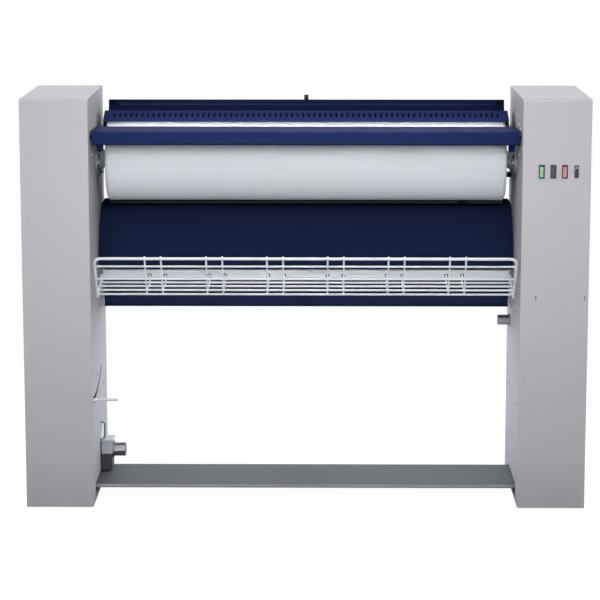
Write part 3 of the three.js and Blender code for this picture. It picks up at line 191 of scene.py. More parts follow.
def coated(name, colour, roughness=0.42, metallic=0.0, mottle=0.035, peel=0.06, grime_and_shade=0.0, specular=0.5,
           highlight_before=None):
    """Paint or plastic: cloudy tone, fine texture, uneven gloss, and if asked dirt patches with painted
    shade towards the bottom, or a painted highlight along the front edge.
    """
    n = Finish(name)
    place = n.place()
    clouds = n.noise(place, scale=3.5, detail=5.0, roughness=0.6)
    tone = n.mix(clouds, shade(colour, 1 - mottle), shade(colour, 1 + mottle))
    # Dark patches towards the bottom of the piece: partly dirt, partly painted shade where the light falls
    # off towards the floor.
    if grime_and_shade:
        patches = n.noise(place, scale=14.0, detail=6.0, roughness=0.65)
        height = n.add("ShaderNodeSeparateXYZ", {0: place}).outputs["Z"]
        low = n.span(height, (0.0, GRIME_AND_SHADE_HEIGHT), (1.0, 0.0))
        share = n.math("MULTIPLY", n.math("MULTIPLY", low, patches), grime_and_shade)
        tone = n.mix(share, tone, shade(colour, GRIME_AND_SHADE_TONE))
    # Lighter band along the front edge, broken up by noise: a painted highlight where the edge catches the
    # light.
    if highlight_before is not None:
        depth = n.add("ShaderNodeSeparateXYZ", {0: place}).outputs["Y"]
        edge_highlight = n.span(depth, (highlight_before - EDGE_HIGHLIGHT_BLEND, highlight_before), (1.0, 0.0))
        highlight_noise = n.noise(place, scale=30.0, detail=4.0, roughness=0.6)
        highlight_patches = n.span(highlight_noise, (0.2, 0.8), (0.75, 1.0))
        tone = n.mix(n.math("MULTIPLY", edge_highlight, highlight_patches), tone, EDGE_HIGHLIGHT_TONE)
    grain = n.noise(place, scale=900.0, detail=2.0, roughness=0.5)
    waves = n.noise(place, scale=160.0, detail=2.0, roughness=0.4)
    normal = n.bump(grain, strength=peel, distance=0.0002)
    normal = n.bump(waves, strength=peel * 0.8, distance=0.0004, normal=normal)
    smears = n.noise(place, scale=40.0, detail=4.0, roughness=0.6)
    gloss = n.span(smears, (0.25, 0.75), (roughness - 0.05, roughness + 0.06))
    n.into(Base_Color=tone, Roughness=gloss, Metallic=metallic, Normal=normal, Specular_IOR_Level=specular)
    MATERIALS[name] = n.material


def brushed(name, colour, roughness=0.33, along=(3, 500, 500), stain=0.05):
    """Bare or plated metal with drawn lines and faint stains."""
    n = Finish(name)
    lines = n.noise(n.place(along), scale=2.0, detail=4.0, roughness=0.6)
    clouds = n.noise(n.place(), scale=9.0, detail=5.0, roughness=0.6)
    tone = n.mix(clouds, shade(colour, 1 - stain), shade(colour, 1 + stain))
    tone = n.mix(n.span(lines, NOISE_RANGE, (0.0, 0.25)), tone, shade(colour, 0.82))
    gloss = n.span(lines, NOISE_RANGE, (roughness - 0.07, roughness + 0.1))
    normal = n.bump(lines, strength=0.12, distance=0.0002)
    n.into(Base_Color=tone, Roughness=gloss, Metallic=1.0, Normal=normal)
    MATERIALS[name] = n.material


def cast(name, colour, roughness=0.55, metallic=0.85, pitting=260.0):
    """Rough cast metal, or a mat of felt where it isn't metallic."""
    n = Finish(name)
    place = n.place()
    pits = n.noise(place, scale=pitting, detail=4.0, roughness=0.65)
    clouds = n.noise(place, scale=12.0, detail=5.0, roughness=0.6)
    tone = n.mix(clouds, shade(colour, 0.88), shade(colour, 1.1))
    normal = n.bump(pits, strength=0.35, distance=0.0006)
    gloss = n.span(pits, NOISE_RANGE, (roughness - 0.08, roughness + 0.1))
    n.into(Base_Color=tone, Roughness=gloss, Metallic=metallic, Normal=normal)
    MATERIALS[name] = n.material


def roller_cloth(name, colour):
    """Woven cotton wound round the roller: threads along and around, faint press marks."""
    n = Finish(name)
    place = n.place()
    parts = n.add("ShaderNodeSeparateXYZ", {0: place})
    side = n.math("SUBTRACT", parts.outputs["Y"], ROLLER.y)
    rise = n.math("SUBTRACT", parts.outputs["Z"], ROLLER.z)
    around = n.math("MULTIPLY", n.math("ARCTAN2", rise, side), ROLLER_RADIUS)
    warp = n.math("SINE", n.math("MULTIPLY", parts.outputs["X"], TURN / THREAD_PITCH))
    weft = n.math("SINE", n.math("MULTIPLY", around, TURN / THREAD_PITCH))
    weave = n.math("MULTIPLY", warp, weft)
    flat = n.add("ShaderNodeCombineXYZ", {0: parts.outputs["X"], 1: around}).outputs[0]
    marks = n.noise(flat, scale=7.0, detail=5.0, roughness=0.6)
    bands = n.noise(n.stretch(flat, (1.2, 16, 1)), scale=3.0, detail=3.0)
    tone = n.mix(marks, shade(colour, 0.965), shade(colour, 1.02))
    tone = n.mix(n.span(bands, (0.55, 0.8), (0.0, 0.5)), tone, shade(colour, 0.94))
    fuzz = n.noise(place, scale=1300.0, detail=2.0)
    normal = n.bump(weave, strength=0.25, distance=0.0003)
    normal = n.bump(fuzz, strength=0.2, distance=0.0003, normal=normal)
    normal = n.bump(marks, strength=0.06, distance=0.002, normal=normal)
    gloss = n.span(marks, NOISE_RANGE, (0.86, 0.95))
    n.into(Base_Color=tone, Roughness=gloss, Normal=normal, Sheen_Weight=0.25, Sheen_Roughness=0.5)
    MATERIALS[name] = n.material


def slot_materials():
    """The finish of each of the record's material slots."""
    coated("shell", LIGHT_GREY, roughness=0.46, mottle=0.02, peel=0.08, grime_and_shade=0.35, specular=0.3)
    coated("navy", NAVY, roughness=0.45, mottle=0.05, peel=0.07, specular=0.006)
    roller_cloth("padding", srgb(240, 243, 247))
    brushed("steel", srgb(165, 167, 170))
    cast("element", srgb(84, 78, 74), roughness=0.5, metallic=0.9)
    brushed("zinc", srgb(166, 168, 172), roughness=0.4, along=EVEN_GRAIN, stain=0.08)
    brushed("chrome", srgb(180, 182, 187), roughness=0.2, along=(8, 300, 300), stain=0.03)
    cast("chest", srgb(46, 46, 50), roughness=0.42, metallic=0.9, pitting=180.0)
    coated("white_coat", srgb(217, 220, 225), roughness=0.4, mottle=0.02, peel=0.05)
    coated("white_plastic", srgb(232, 233, 236), roughness=0.35, mottle=0.02, peel=0.04)
    coated("black_plastic", srgb(30, 30, 33), roughness=0.45, mottle=0.08, peel=0.1)
    coated("black_rubber", srgb(26, 26, 28), roughness=0.7, mottle=0.1, peel=0.15)
    coated("dark_steel", srgb(34, 35, 38), roughness=0.4, metallic=0.4, mottle=0.08, peel=0.08)
    # The foot plate gets dark patches with painted shade near the floor and a painted highlight along its
    # front edge.
    coated("plate", srgb(106, 108, 112), roughness=0.6, mottle=0.05, peel=0.12, grime_and_shade=0.2, specular=0.04,
           highlight_before=low_corner("foot_plate").y + EDGE_HIGHLIGHT_DEPTH)
    cast("castings", srgb(160, 162, 165), roughness=0.5, metallic=0.8)
    coated("box_grey", srgb(172, 174, 177), roughness=0.4, metallic=0.6, mottle=0.08, peel=0.05)
    cast("mat", srgb(200, 186, 140), roughness=0.95, metallic=0.0, pitting=90.0)
    coated("green_plastic", srgb(158, 214, 160), roughness=0.25, mottle=0.03, peel=0.02)
    coated("grey_plastic", srgb(82, 83, 90), roughness=0.35, mottle=0.04, peel=0.03)
    coated("red_plastic", srgb(222, 150, 163), roughness=0.25, mottle=0.03, peel=0.02)


def own_materials():
    """Finishes of single pieces that differ in tone from the rest of their slot; some are painted shade,
    painted light or a painted highlight.
    """
    # Copies of the navy: darker ones paint shade on the chute and the rear chest cover, a lighter one paints
    # light on the rear lower panel in the basket's shade.
    for name, colour in (("navy_painted_shade", srgb(25, 36, 63)), ("navy_painted_deep_shade", srgb(22, 29, 54)),
                         ("navy_painted_light", srgb(47, 58, 92))):
        coated(name, colour, roughness=0.45, mottle=0.05, peel=0.07, specular=0.0)
    coated("wire_white", srgb(238, 239, 242), roughness=0.4, mottle=0.02, peel=0.05, specular=0.4)
    coated("bezel", srgb(84, 85, 90), roughness=0.5, mottle=0.05, peel=0.05, specular=0.3)
    coated("selector_grey", srgb(120, 121, 126), roughness=0.5, mottle=0.05, peel=0.05, specular=0.3)
    # Lighter grey for the selector's top: a painted highlight where its top catches the light.
    coated("selector_painted_highlight", srgb(160, 161, 166), roughness=0.45, mottle=0.05, peel=0.05, specular=0.3)
    coated("block_grey", srgb(186, 190, 198), metallic=0.1, mottle=0.04, peel=0.05, specular=0.3)
    coated("base_grey", srgb(70, 72, 74), roughness=0.5, mottle=0.06, peel=0.08, specular=0.3)
    cast("housing_grey", srgb(178, 180, 184), roughness=0.6, metallic=0.2, pitting=220.0)
    coated("stop_black", srgb(16, 18, 24), roughness=0.6, mottle=0.05, peel=0.08, specular=0.0)
    coated("shell_inner", LIGHT_GREY, roughness=0.55, mottle=0.02, peel=0.08, grime_and_shade=0.35, specular=0.03)
    brushed("nickel", srgb(236, 237, 239), roughness=0.24, along=EVEN_GRAIN, stain=0.03)
    # Darker grey of the slits: painted shade in their openings.
    coated("slit_painted_shade", srgb(140, 139, 143), roughness=0.6, mottle=0.04, peel=0.05, specular=0.2)


slot_materials()
own_materials()


def paint(piece, name):
    piece.data.materials.clear()
    piece.data.materials.append(MATERIALS[name])


# Each solid keeps its shape: it gets its finish, and a small rounding on its edges

EDGE_MM = {
    "left_front_cover": 1.2, "right_front_cover": 1.2, "left_side_cover": 0.4, "right_side_cover": 0.4,
    "green_switch_housing": 1.0, "black_switch_housing": 1.0, "red_switch_housing": 1.0,
    "selector_housing": 1.2, "feed_board": 0.5, "gear_unit": 2.0, "drive_motor": 0.6, "foot_plate": 0.5,
    "supply_block": 0.8,
}
PLAIN_EDGE_MM = 0.3
SHARP_DEGREES = 32
WELD_DISTANCE = 0.00001
FACE_WEIGHT = 80
OWN_FINISH = {
    # Navy copies: painted shade on the chute and the rear chest cover, painted light on the rear lower panel
    "chute_panel": "navy_painted_shade", "rear_lower_panel": "navy_painted_light", "rear_chest_cover": "navy_painted_deep_shade",
    "green_switch_housing": "bezel", "black_switch_housing": "bezel", "red_switch_housing": "bezel",
    # The selector's top is a lighter copy of its grey: a painted highlight.
    "selector_housing": "selector_grey", "selector_knob": "selector_painted_highlight",
    "left_roller_bearing": "housing_grey", "right_roller_bearing": "housing_grey",
    "supply_block": "block_grey", "supply_base": "base_grey", "supply_lead": "base_grey",
    "left_inner_wall": "shell_inner", "right_inner_wall": "shell_inner",
}


def finish_solid(name, slot):
    piece = frame["nodes"][name]
    paint(piece, slot)
    for polygon in piece.data.polygons:
        polygon.use_smooth = True
    piece.modifiers.new("weld", "WELD").merge_threshold = WELD_DISTANCE
    bevel = piece.modifiers.new("edge", "BEVEL")
    bevel.width = EDGE_MM.get(name, PLAIN_EDGE_MM) * MM
    bevel.segments = 2
    bevel.limit_method = "ANGLE"
    bevel.angle_limit = math.radians(SHARP_DEGREES)
    bevel.use_clamp_overlap = True
    piece.modifiers.new("normals", "WEIGHTED_NORMAL").weight = FACE_WEIGHT


for entry in frame["record"]["subparts"]:
    finish_solid(entry["node"], OWN_FINISH.get(entry["node"], entry["material_slot"]))


# Building blocks

def piece_from(name, mesh_builder, slot, body, smooth=True, look=None):
    """A piece on a body, with its slot's finish or the one that look names."""
    mesh = bpy.data.meshes.new(name)
    bm = bmesh.new()
    mesh_builder(bm)
    bmesh.ops.recalc_face_normals(bm, faces=bm.faces)
    bm.to_mesh(mesh)
    bm.free()
    piece = bpy.data.objects.new(name, mesh)
    bpy.context.scene.collection.objects.link(piece)
    for polygon in mesh.polygons:
        polygon.use_smooth = smooth
    paint(piece, look or slot)
    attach(piece, body)
    return piece


def join_rings(bm, here, there):
    """A band of faces between two rings of as many points."""
    for k in range(len(here)):
        m = (k + 1) % len(here)
        bm.faces.new((here[k], here[m], there[m], there[k]))


def circle(steps):
    return [TURN * k / steps for k in range(steps)]


def revolve(bm, profile, centre, steps, wobble):
    """Closed revolved form about a line along X; profile is a closed list of (radius, x) in metres."""
    rings = []
    for angle in circle(steps):
        ring = []
        for radius, x in profile:
            out = radius + wobble(x, angle, radius)
            place = (x, centre.y + out * math.cos(angle), centre.z + out * math.sin(angle))
            ring.append(bm.verts.new(place))
        rings.append(ring)
    for k in range(steps):
        join_rings(bm, rings[k], rings[(k + 1) % steps])


def directions(points, closed):
    """The way that a path runs at each of its points."""
    count = len(points)
    found = []
    for i in range(count):
        before = points[i - 1] if i or closed else points[i]
        after = points[(i + 1) % count] if i < count - 1 or closed else points[i]
        found.append((after - before).normalized())
    return found


DOME_WIDTH = 0.7
DOME_RISE = 0.5
NEARLY_UPRIGHT = 0.9


def tube(bm, points, radius, sides, closed=False):
    """Round wire along a list of points. Unless closed, its ends are domed, in shares of the radius."""
    points = [Vector(p) for p in points]
    tangents = directions(points, closed)
    up = Vector((0, 0, 1))
    if abs(tangents[0].dot(up)) > NEARLY_UPRIGHT:
        up = Vector((0, 1, 0))
    across = tangents[0].cross(up).normalized()
    rings = []
    for point, tangent in zip(points, tangents):
        across = (across - tangent * across.dot(tangent)).normalized()
        other = tangent.cross(across)
        ring = []
        for angle in circle(sides):
            spoke = across * math.cos(angle) + other * math.sin(angle)
            ring.append(bm.verts.new(point + spoke * radius))
        rings.append(ring)
    for here, there in zip(rings, rings[1:]):
        join_rings(bm, here, there)
    if closed:
        join_rings(bm, rings[-1], rings[0])
        return
    for ring, point, way in ((rings[0], points[0], -tangents[0]), (rings[-1], points[-1], tangents[-1])):
        top = point + way * radius * DOME_RISE
        dome = [bm.verts.new(top + (corner.co - point) * DOME_WIDTH) for corner in ring]
        join_rings(bm, ring, dome)
        bm.faces.new(dome)


# A bend takes a little less than half of a leg, so that two bends have room on it
LEG_PER_BEND = 2.05


def rounded(points, radius, steps):
    """A path with its corners replaced by smooth bends that start at most a radius away."""
    points = [Vector(p) for p in points]
    path = [points[0]]
    for i in range(1, len(points) - 1):
        before = points[i - 1] - points[i]
        after = points[i + 1] - points[i]
        reach = min(radius, before.length / LEG_PER_BEND, after.length / LEG_PER_BEND)
        start = points[i] + before.normalized() * reach
        end = points[i] + after.normalized() * reach
        for k in range(steps + 1):
            t = k / steps
            path.append(start * (1 - t) ** 2 + points[i] * 2 * t * (1 - t) + end * t ** 2)
    path.append(points[-1])
    return path


# Roller cover: cloth wound over the drum, drawn in a little at both ends

BORE_CLEARANCE = 0.0006
COVER_BORE = DRUM_RADIUS + BORE_CLEARANCE
BORE_INSET = 0.001
SHOULDER = 0.010
SMOOTH_SHARE = 0.9
SHOULDER_STEPS = 10
RUN_STEPS = 40
COVER_STEPS = 192
LAP_ANGLE = math.radians(150)
LAP_STEP = 0.0006
LAP_FADE = 0.05
PLEATS = 46
PLEAT_DEPTH = 0.00025
PLEAT_REACH = 0.02
CLOTH_INSET = 0.0005
# Height in metres, radians for each metre along X, waves around and start of each slow wave in the cloth
CLOTH_WAVES = ((0.00006, 9, 3, 0), (0.00004, 23, -5, 1))


def cover_profile():
    """(radius, x) from the left bore over the rounded shoulders and the straight run to the right bore."""
    shoulder = []
    for k in range(SHOULDER_STEPS + 1):
        angle = math.pi / 2 * k / SHOULDER_STEPS
        shoulder.append((ROLLER_RADIUS - SHOULDER * (1 - math.sin(angle)),
                         ROLLER_HALF - SHOULDER * (1 - math.cos(angle))))
    run = ROLLER_HALF - SHOULDER
    straight = [(ROLLER_RADIUS, run * (2 * k / RUN_STEPS - 1)) for k in range(1, RUN_STEPS)]
    mouth = ROLLER_HALF - BORE_INSET
    left = [(radius, -x) for radius, x in shoulder]
    return [(COVER_BORE, -mouth)] + left + straight + shoulder[::-1] + [(COVER_BORE, mouth)]


def cloth_wobble(x, angle, radius):
    """How far the cloth stands off its round: soft waves, pleats at the ends and the step of its lap."""
    if radius < ROLLER_RADIUS - SHOULDER * SMOOTH_SHARE:
        return 0
    wave = 0
    for height, along, around, start in CLOTH_WAVES:
        wave += height * math.sin(along * x + around * angle + start)
    near_end = math.exp(-((ROLLER_HALF - abs(x)) / PLEAT_REACH) ** 2)
    pleat = PLEAT_DEPTH * near_end * math.sin(PLEATS * angle)
    past_lap = (angle - LAP_ANGLE + math.pi) % TURN - math.pi
    step = -LAP_STEP * math.exp(-past_lap / LAP_FADE) if past_lap >= 0 else 0
    return wave + pleat + step - CLOTH_INSET


def cover_builder(bm):
    revolve(bm, cover_profile(), ROLLER, COVER_STEPS, cloth_wobble)


cover = piece_from("roller_cover", cover_builder, "padding", "roller")
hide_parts("roller_padding")


# Wire basket: a bent frame, wires along it, and ribs that hook over the rail

RAIL_TOP = high_corner("chute_rail").z
RAIL_Y = -0.020
HOOK_Z = RAIL_TOP - 0.013
TOP = Vector((0, -0.200, 0.665))
FOOT = Vector((0, -0.120, 0.5455))
SIDE = 0.5477
HOOK_END = 0.545
RIB_PLACES = [0.058, 0.100, 0.216, 0.258, 0.3755, 0.4175]
ROW_SHARES = [0.19, 0.5, 0.775, 0.88]
FRAME_WIRE = 0.004
ROW_WIRE = 0.0028
RIB_WIRE = 0.0023
WELD_SINK = 0.0008
FLOOR_Z = RAIL_TOP - 0.036
FLOOR_Y = -0.085
HOOK_REACH = 0.008
BEHIND = RAIL_Y + HOOK_REACH
FLOOR_ROWS = (FLOOR_Y, BEHIND - 2 * HOOK_REACH)
RIB_OVERRUN = 0.002
FRAME_BEND = 0.018
ROW_BEND = 0.008
RIB_BEND = 0.0045


def along_side(share):
    """Point on the sloping front, from its top to its foot."""
    return TOP + (FOOT - TOP) * share


def basket_frame(bm):
    path = [(-HOOK_END, RAIL_Y, HOOK_Z)]
    for place, x in ((FOOT, -SIDE), (TOP, -SIDE), (TOP, SIDE), (FOOT, SIDE)):
        path.append((x, place.y, place.z))
    path.append((HOOK_END, RAIL_Y, HOOK_Z))
    tube(bm, rounded(path, FRAME_BEND, steps=6), FRAME_WIRE, sides=12)


def basket_rows(bm, touch):
    for share in ROW_SHARES:
        row = along_side(share)
        tube(bm, [(-SIDE, row.y, row.z), (SIDE, row.y, row.z)], ROW_WIRE, sides=10)
    climb = (HOOK_Z - FOOT.z) / (RAIL_Y - FOOT.y)
    for y in FLOOR_ROWS:
        low = FLOOR_Z + touch
        high = FOOT.z + climb * (y - FOOT.y)
        path = [(-SIDE, y, high), (-SIDE, y, low), (SIDE, y, low), (SIDE, y, high)]
        tube(bm, rounded(path, ROW_BEND, steps=6), ROW_WIRE, sides=10)


def basket_ribs(bm, touch):
    run = (FOOT - TOP).normalized()
    inward = Vector((0, -run.z, run.y)) * touch
    start = TOP + inward
    knee = along_side(ROW_SHARES[-1]) + inward
    for x in [side * place for place in RIB_PLACES for side in SIDES]:
        path = [
            (x, start.y, start.z + RIB_OVERRUN), (x, knee.y, knee.z), (x, FLOOR_Y, FLOOR_Z),
            (x, BEHIND, FLOOR_Z), (x, BEHIND, HOOK_Z), (x, RAIL_Y - HOOK_REACH, HOOK_Z),
        ]
        tube(bm, rounded(path, RIB_BEND, steps=5), RIB_WIRE, sides=10)


def basket_builder(bm):
    touch = ROW_WIRE + RIB_WIRE - WELD_SINK
    basket_frame(bm)
    basket_rows(bm, touch)
    basket_ribs(bm, touch)


basket = piece_from("basket_wires", basket_builder, "white_coat", "wire_basket", look="wire_white")
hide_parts("wire_basket")


# Small fittings: all of their measures are in millimetres

LEFT, RIGHT, FRONT, REAR, UP = (-1, 0, 0), (1, 0, 0), (0, -1, 0), (0, 1, 0), (0, 0, 1)
ROUND, HEXAGON = False, True
WALL_MM = WALL_X / MM
WALL_CLEARANCE = 0.1
SCREW_CLEARANCE = 0.05
FACE_Y = low_corner("left_front_cover").y / MM
ROLLER_MM = ROLLER / MM

# Middles of the sheet at the front of the channel and at the back of its cover
HALF_SHEET = 0.75
CHANNEL_FRONT_Y = low_corner("rear_chest_cover").y / MM + HALF_SHEET
REAR_SHEET_Y = high_corner("rear_chest_cover").y / MM - HALF_SHEET


def rounded_box(bm, low, high, radius, steps=3):
    """Box between two corners, with rounded edges."""
    made = bmesh.ops.create_cube(bm, size=1)["verts"]
    for vert in made:
        share = vert.co + Vector((0.5, 0.5, 0.5))
        vert.co = Vector([(low[i] + (high[i] - low[i]) * share[i]) * MM for i in range(3)])
    edges = {edge for vert in made for edge in vert.link_edges}
    bmesh.ops.bevel(bm, geom=list(edges), offset=radius * MM, segments=steps, profile=0.5, affect="EDGES")


def hexagon_share(angle):
    """A hexagon's radius at an angle, as a share of the radius at its corners."""
    off_flat = (angle + math.pi / 6) % (math.pi / 3) - math.pi / 6
    return math.cos(math.pi / 6) / math.cos(off_flat)


def round_stack(bm, place, way, rings, sides=18):
    """Turned form on an axis: rings of (distance along the axis, radius, ROUND or HEXAGON)."""
    way = Vector(way).normalized()
    across = way.orthogonal().normalized()
    other = way.cross(across)
    made = []
    for along, radius, hexagon in rings:
        ring = []
        for angle in circle(sides):
            reach = radius * hexagon_share(angle) if hexagon else radius
            spot = Vector(place) + way * along + (across * math.cos(angle) + other * math.sin(angle)) * reach
            ring.append(bm.verts.new(spot * MM))
        made.append(ring)
    for here, there in zip(made, made[1:]):
        join_rings(bm, here, there)
    bm.faces.new(made[0])
    bm.faces.new(made[-1])


def socket_screw(bm, place, way, radius, height):
    """Button head with a hexagon socket."""
    round_stack(bm, place, way, [
        (0, radius, ROUND), (height * 0.35, radius, ROUND), (height * 0.75, radius * 0.86, ROUND),
        (height, radius * 0.6, ROUND), (height, radius * 0.5, HEXAGON),
        (height * 0.3, radius * 0.48, HEXAGON),
    ])


def hex_bolt(bm, place, way, radius, height):
    """Hexagon head with its washer face and chamfer."""
    washer = radius * 1.35
    round_stack(bm, place, way, [
        (0, washer, ROUND), (1.2, washer, ROUND), (1.2, radius, HEXAGON), (height * 0.85, radius, HEXAGON),
        (height, radius * 0.86, ROUND), (height, radius * 0.5, ROUND), (height - 0.4, radius * 0.42, ROUND),
    ])


def channel_stops_builder(bm):
    """A stop with its screw at each end of the channel."""
    near_x, screw_x, far_x = 516.3, 526.5, 536.9
    low_z, high_z = 1032.8, 1040.8
    front_y, back_y = CHANNEL_FRONT_Y - 4.2, CHANNEL_FRONT_Y - 0.1
    for side in SIDES:
        left, right = sorted((side * near_x, side * far_x))
        rounded_box(bm, (left, front_y, low_z), (right, back_y, high_z), radius=1.2)
        socket_screw(bm, (side * screw_x, front_y, (low_z + high_z) / 2), FRONT, radius=2.4, height=1.2)


def channel_bead_builder(bm):
    """Rolled bead along the channel's front."""
    half, step = 510, 10
    y, z = CHANNEL_FRONT_Y - 0.4, 1030.8
    path = [(x * MM, y * MM, z * MM) for x in range(-half, half + 1, step)]
    tube(bm, path, radius=2.1 * MM, sides=10)


def chest_sensor_builder(bm):
    """Small box with two screws on the chest's lip, near its right end."""
    low, high = (409, 38.8, 779.0), (432, 45.8, 786.2)
    screw_z = 782.5
    rounded_box(bm, low, high, radius=2.0)
    for x in (413.5, 427.5):
        socket_screw(bm, (x, low[1], screw_z), FRONT, radius=1.9, height=1.0)


def cover_slits_builder(bm):
    """Two small slits in the right front cover, each with its rim, all in a darker grey that paints the
    shade in the openings.
    """
    low_z, high_z = 558.8, 570.5
    half, inner_half, rim = 2.1, 0.7, 1.8
    rim_front, rim_back = FACE_Y - 0.5, FACE_Y + 0.2
    inner_front, inner_back = FACE_Y - 0.9, FACE_Y - 0.4
    for x in (597.1, 723.7):
        rounded_box(bm, (x - half, rim_front, low_z), (x + half, rim_back, high_z), radius=0.22, steps=2)
        rounded_box(bm, (x - inner_half, inner_front, low_z + rim),
                    (x + inner_half, inner_back, high_z - rim), radius=0.2, steps=2)


WALL_SCREWS = [(-49, 501.4), (-65, 329.6), (113, 272.3), (-139, 270.3), (120, 700)]
WALL_SCREW_RADIUS = 3.2
BOARD_SCREWS = [(-118, 929.5), (-105, 1002), (-158, 996)]
BOARD_SCREW_RADIUS = 4.2
SCREW_RISE = 0.62


def screws_on_walls(bm, places, radius):
    """A screw at each (y, z) on both inner walls."""
    for side in SIDES:
        for y, z in places:
            place = (side * (WALL_MM - SCREW_CLEARANCE), y, z)
            socket_screw(bm, place, (-side, 0, 0), radius, height=radius * SCREW_RISE)


def wall_screws_builder(bm):
    screws_on_walls(bm, WALL_SCREWS, WALL_SCREW_RADIUS)


def board_screws_builder(bm):
    screws_on_walls(bm, BOARD_SCREWS, BOARD_SCREW_RADIUS)


def bearing_rings_builder(bm):
    """Bright retaining ring round each bearing's boss."""
    reach, inset = 31.2 * MM, 6.6
    for side in SIDES:
        x = side * (WALL_MM - inset) * MM
        ring = [(x, ROLLER.y + reach * math.cos(a), ROLLER.z + reach * math.sin(a)) for a in circle(48)]
        tube(bm, ring, radius=2.4 * MM, sides=8, closed=True)


def bearing_nipples_builder(bm):
    """A grease nipple under each bearing's boss."""
    inset, drop = 5.0, 34.5
    for side in SIDES:
        place = (side * (WALL_MM - inset), ROLLER_MM.y, ROLLER_MM.z - drop)
        round_stack(bm, place, (-side, 0, 0), [
            (0, 4.6, HEXAGON), (4, 4.6, HEXAGON), (4.4, 2.6, ROUND), (6.5, 2.4, ROUND), (7.5, 3.1, ROUND),
            (9, 2.9, ROUND), (9.6, 1.6, ROUND),
        ])


def heater_conduit_builder(bm):
    """The heater's lead from the chest's end through its gland in the right wall."""
    y, z = 165, 842
    wall = WALL_MM - WALL_CLEARANCE
    path = [(x * MM, y * MM, z * MM) for x in (529.5, 535, 543, 550, wall)]
    tube(bm, path, radius=3.5 * MM, sides=16)
    round_stack(bm, (wall, y, z), LEFT, [
        (0, 8.6, HEXAGON), (7, 8.6, HEXAGON), (8.5, 7.4, ROUND), (12, 6.6, ROUND),
    ])


def prism(bm, outline, start_x, end_x):
    """A sheet with its outline of (y, z) between two places along X."""
    rings = []
    for x in (start_x, end_x):
        rings.append([bm.verts.new((x * MM, y * MM, z * MM)) for y, z in outline])
    join_rings(bm, *rings)
    bm.faces.new(rings[0])
    bm.faces.new(rings[1])


def cable_guide_builder(bm):
    """Sheet over the supply block, with a folded lip and two screws."""
    wall = -WALL_MM + WALL_CLEARANCE
    low_z, lip_z = 137, 139.5
    sheet_depth, lip_depth = 1.8, 5.5
    sheet = [(10, low_z), (92, low_z), (92, 164), (86, 166), (60, 166), (12, 146)]
    lip = [(10, low_z), (92, low_z), (92, lip_z), (10, lip_z)]
    prism(bm, sheet, wall, wall + sheet_depth)
    prism(bm, lip, wall, wall + lip_depth)
    for y, z in ((22, 142), (80, 152)):
        socket_screw(bm, (-WALL_MM + sheet_depth, y, z), RIGHT, radius=2.2, height=1.2)


def supply_trim_builder(bm):
    """Cap screws and the spigot's lock nut."""
    sunk = 0.1
    cap_z = high_corner("supply_block").z / MM - sunk
    for x in (-551, -529):
        for y in (3, 59):
            socket_screw(bm, (x, y, cap_z), UP, radius=2.0, height=1.2)
    spigot = middle("supply_spigot") / MM
    nut_x = -526.3
    nut = [(0.4, 23.5, HEXAGON), (3.2, 23.5, HEXAGON), (4.2, 22.0, ROUND)]
    round_stack(bm, (nut_x, spigot.y, spigot.z), RIGHT, nut, sides=24)


def rear_screws_builder(bm):
    """Screws of the rear sheets, and bolts of the tie beam and the cross member."""
    pitch = 165
    cover_z = (1012, 792)
    sunk_screw, sunk_bolt = 0.05, 0.1
    panel_y, panel_z = high_corner("rear_lower_panel").y / MM - sunk_screw, 735
    tie_x, tie_y, tie_z = 538, high_corner("tie_beam").y / MM - sunk_bolt, (512, 536)
    cross_x, cross_y = (500, 538), high_corner("rear_cross_member").y / MM - sunk_bolt
    cross_z = middle("rear_cross_member").z / MM
    for x in [k * pitch for k in range(-3, 4)]:
        for z in cover_z:
            socket_screw(bm, (x, REAR_SHEET_Y, z), REAR, radius=4.0, height=2.2)
        socket_screw(bm, (x, panel_y, panel_z), REAR, radius=3.5, height=2.0)
    for side in SIDES:
        for z in tie_z:
            hex_bolt(bm, (side * tie_x, tie_y, z), REAR, radius=6.0, height=4.5)
        for x in cross_x:
            hex_bolt(bm, (side * x, cross_y, cross_z), REAR, radius=5.0, height=2.0)


piece_from("channel_bead", channel_bead_builder, "navy", "frame")
piece_from("channel_stops", channel_stops_builder, "black_rubber", "frame", look="stop_black")
piece_from("chest_sensor", chest_sensor_builder, "black_plastic", "chest", look="stop_black")
piece_from("cover_slits", cover_slits_builder, "shell", "frame", look="slit_painted_shade")
piece_from("wall_screws", wall_screws_builder, "zinc", "frame")
piece_from("board_screws", board_screws_builder, "chrome", "frame", look="nickel")
piece_from("bearing_rings", bearing_rings_builder, "chrome", "frame", look="nickel")
piece_from("bearing_nipples", bearing_nipples_builder, "zinc", "frame")
piece_from("heater_conduit", heater_conduit_builder, "black_rubber", "frame")
piece_from("cable_guide", cable_guide_builder, "white_plastic", "frame", smooth=False)
piece_from("supply_trim", supply_trim_builder, "zinc", "frame", smooth=False)
piece_from("rear_screws", rear_screws_builder, "zinc", "frame", smooth=False)


# Floor and sky: white where they are seen, and no brighter than a studio where they light the object

FLOOR_REACH = 9
FLOOR_TONE = (0.15, 0.15, 0.155, 1)
FLOOR_SEEN_TONE = (0.9, 0.9, 0.9, 1)
FLOOR_GLOW = 1.09
FLOOR_GLOW_SHARE = 0.88
HORIZON = (0.60, 0.62, 0.65, 1)
ZENITH = (0.20, 0.20, 0.21, 1)
SKY_RISE = (0.05, 0.75)


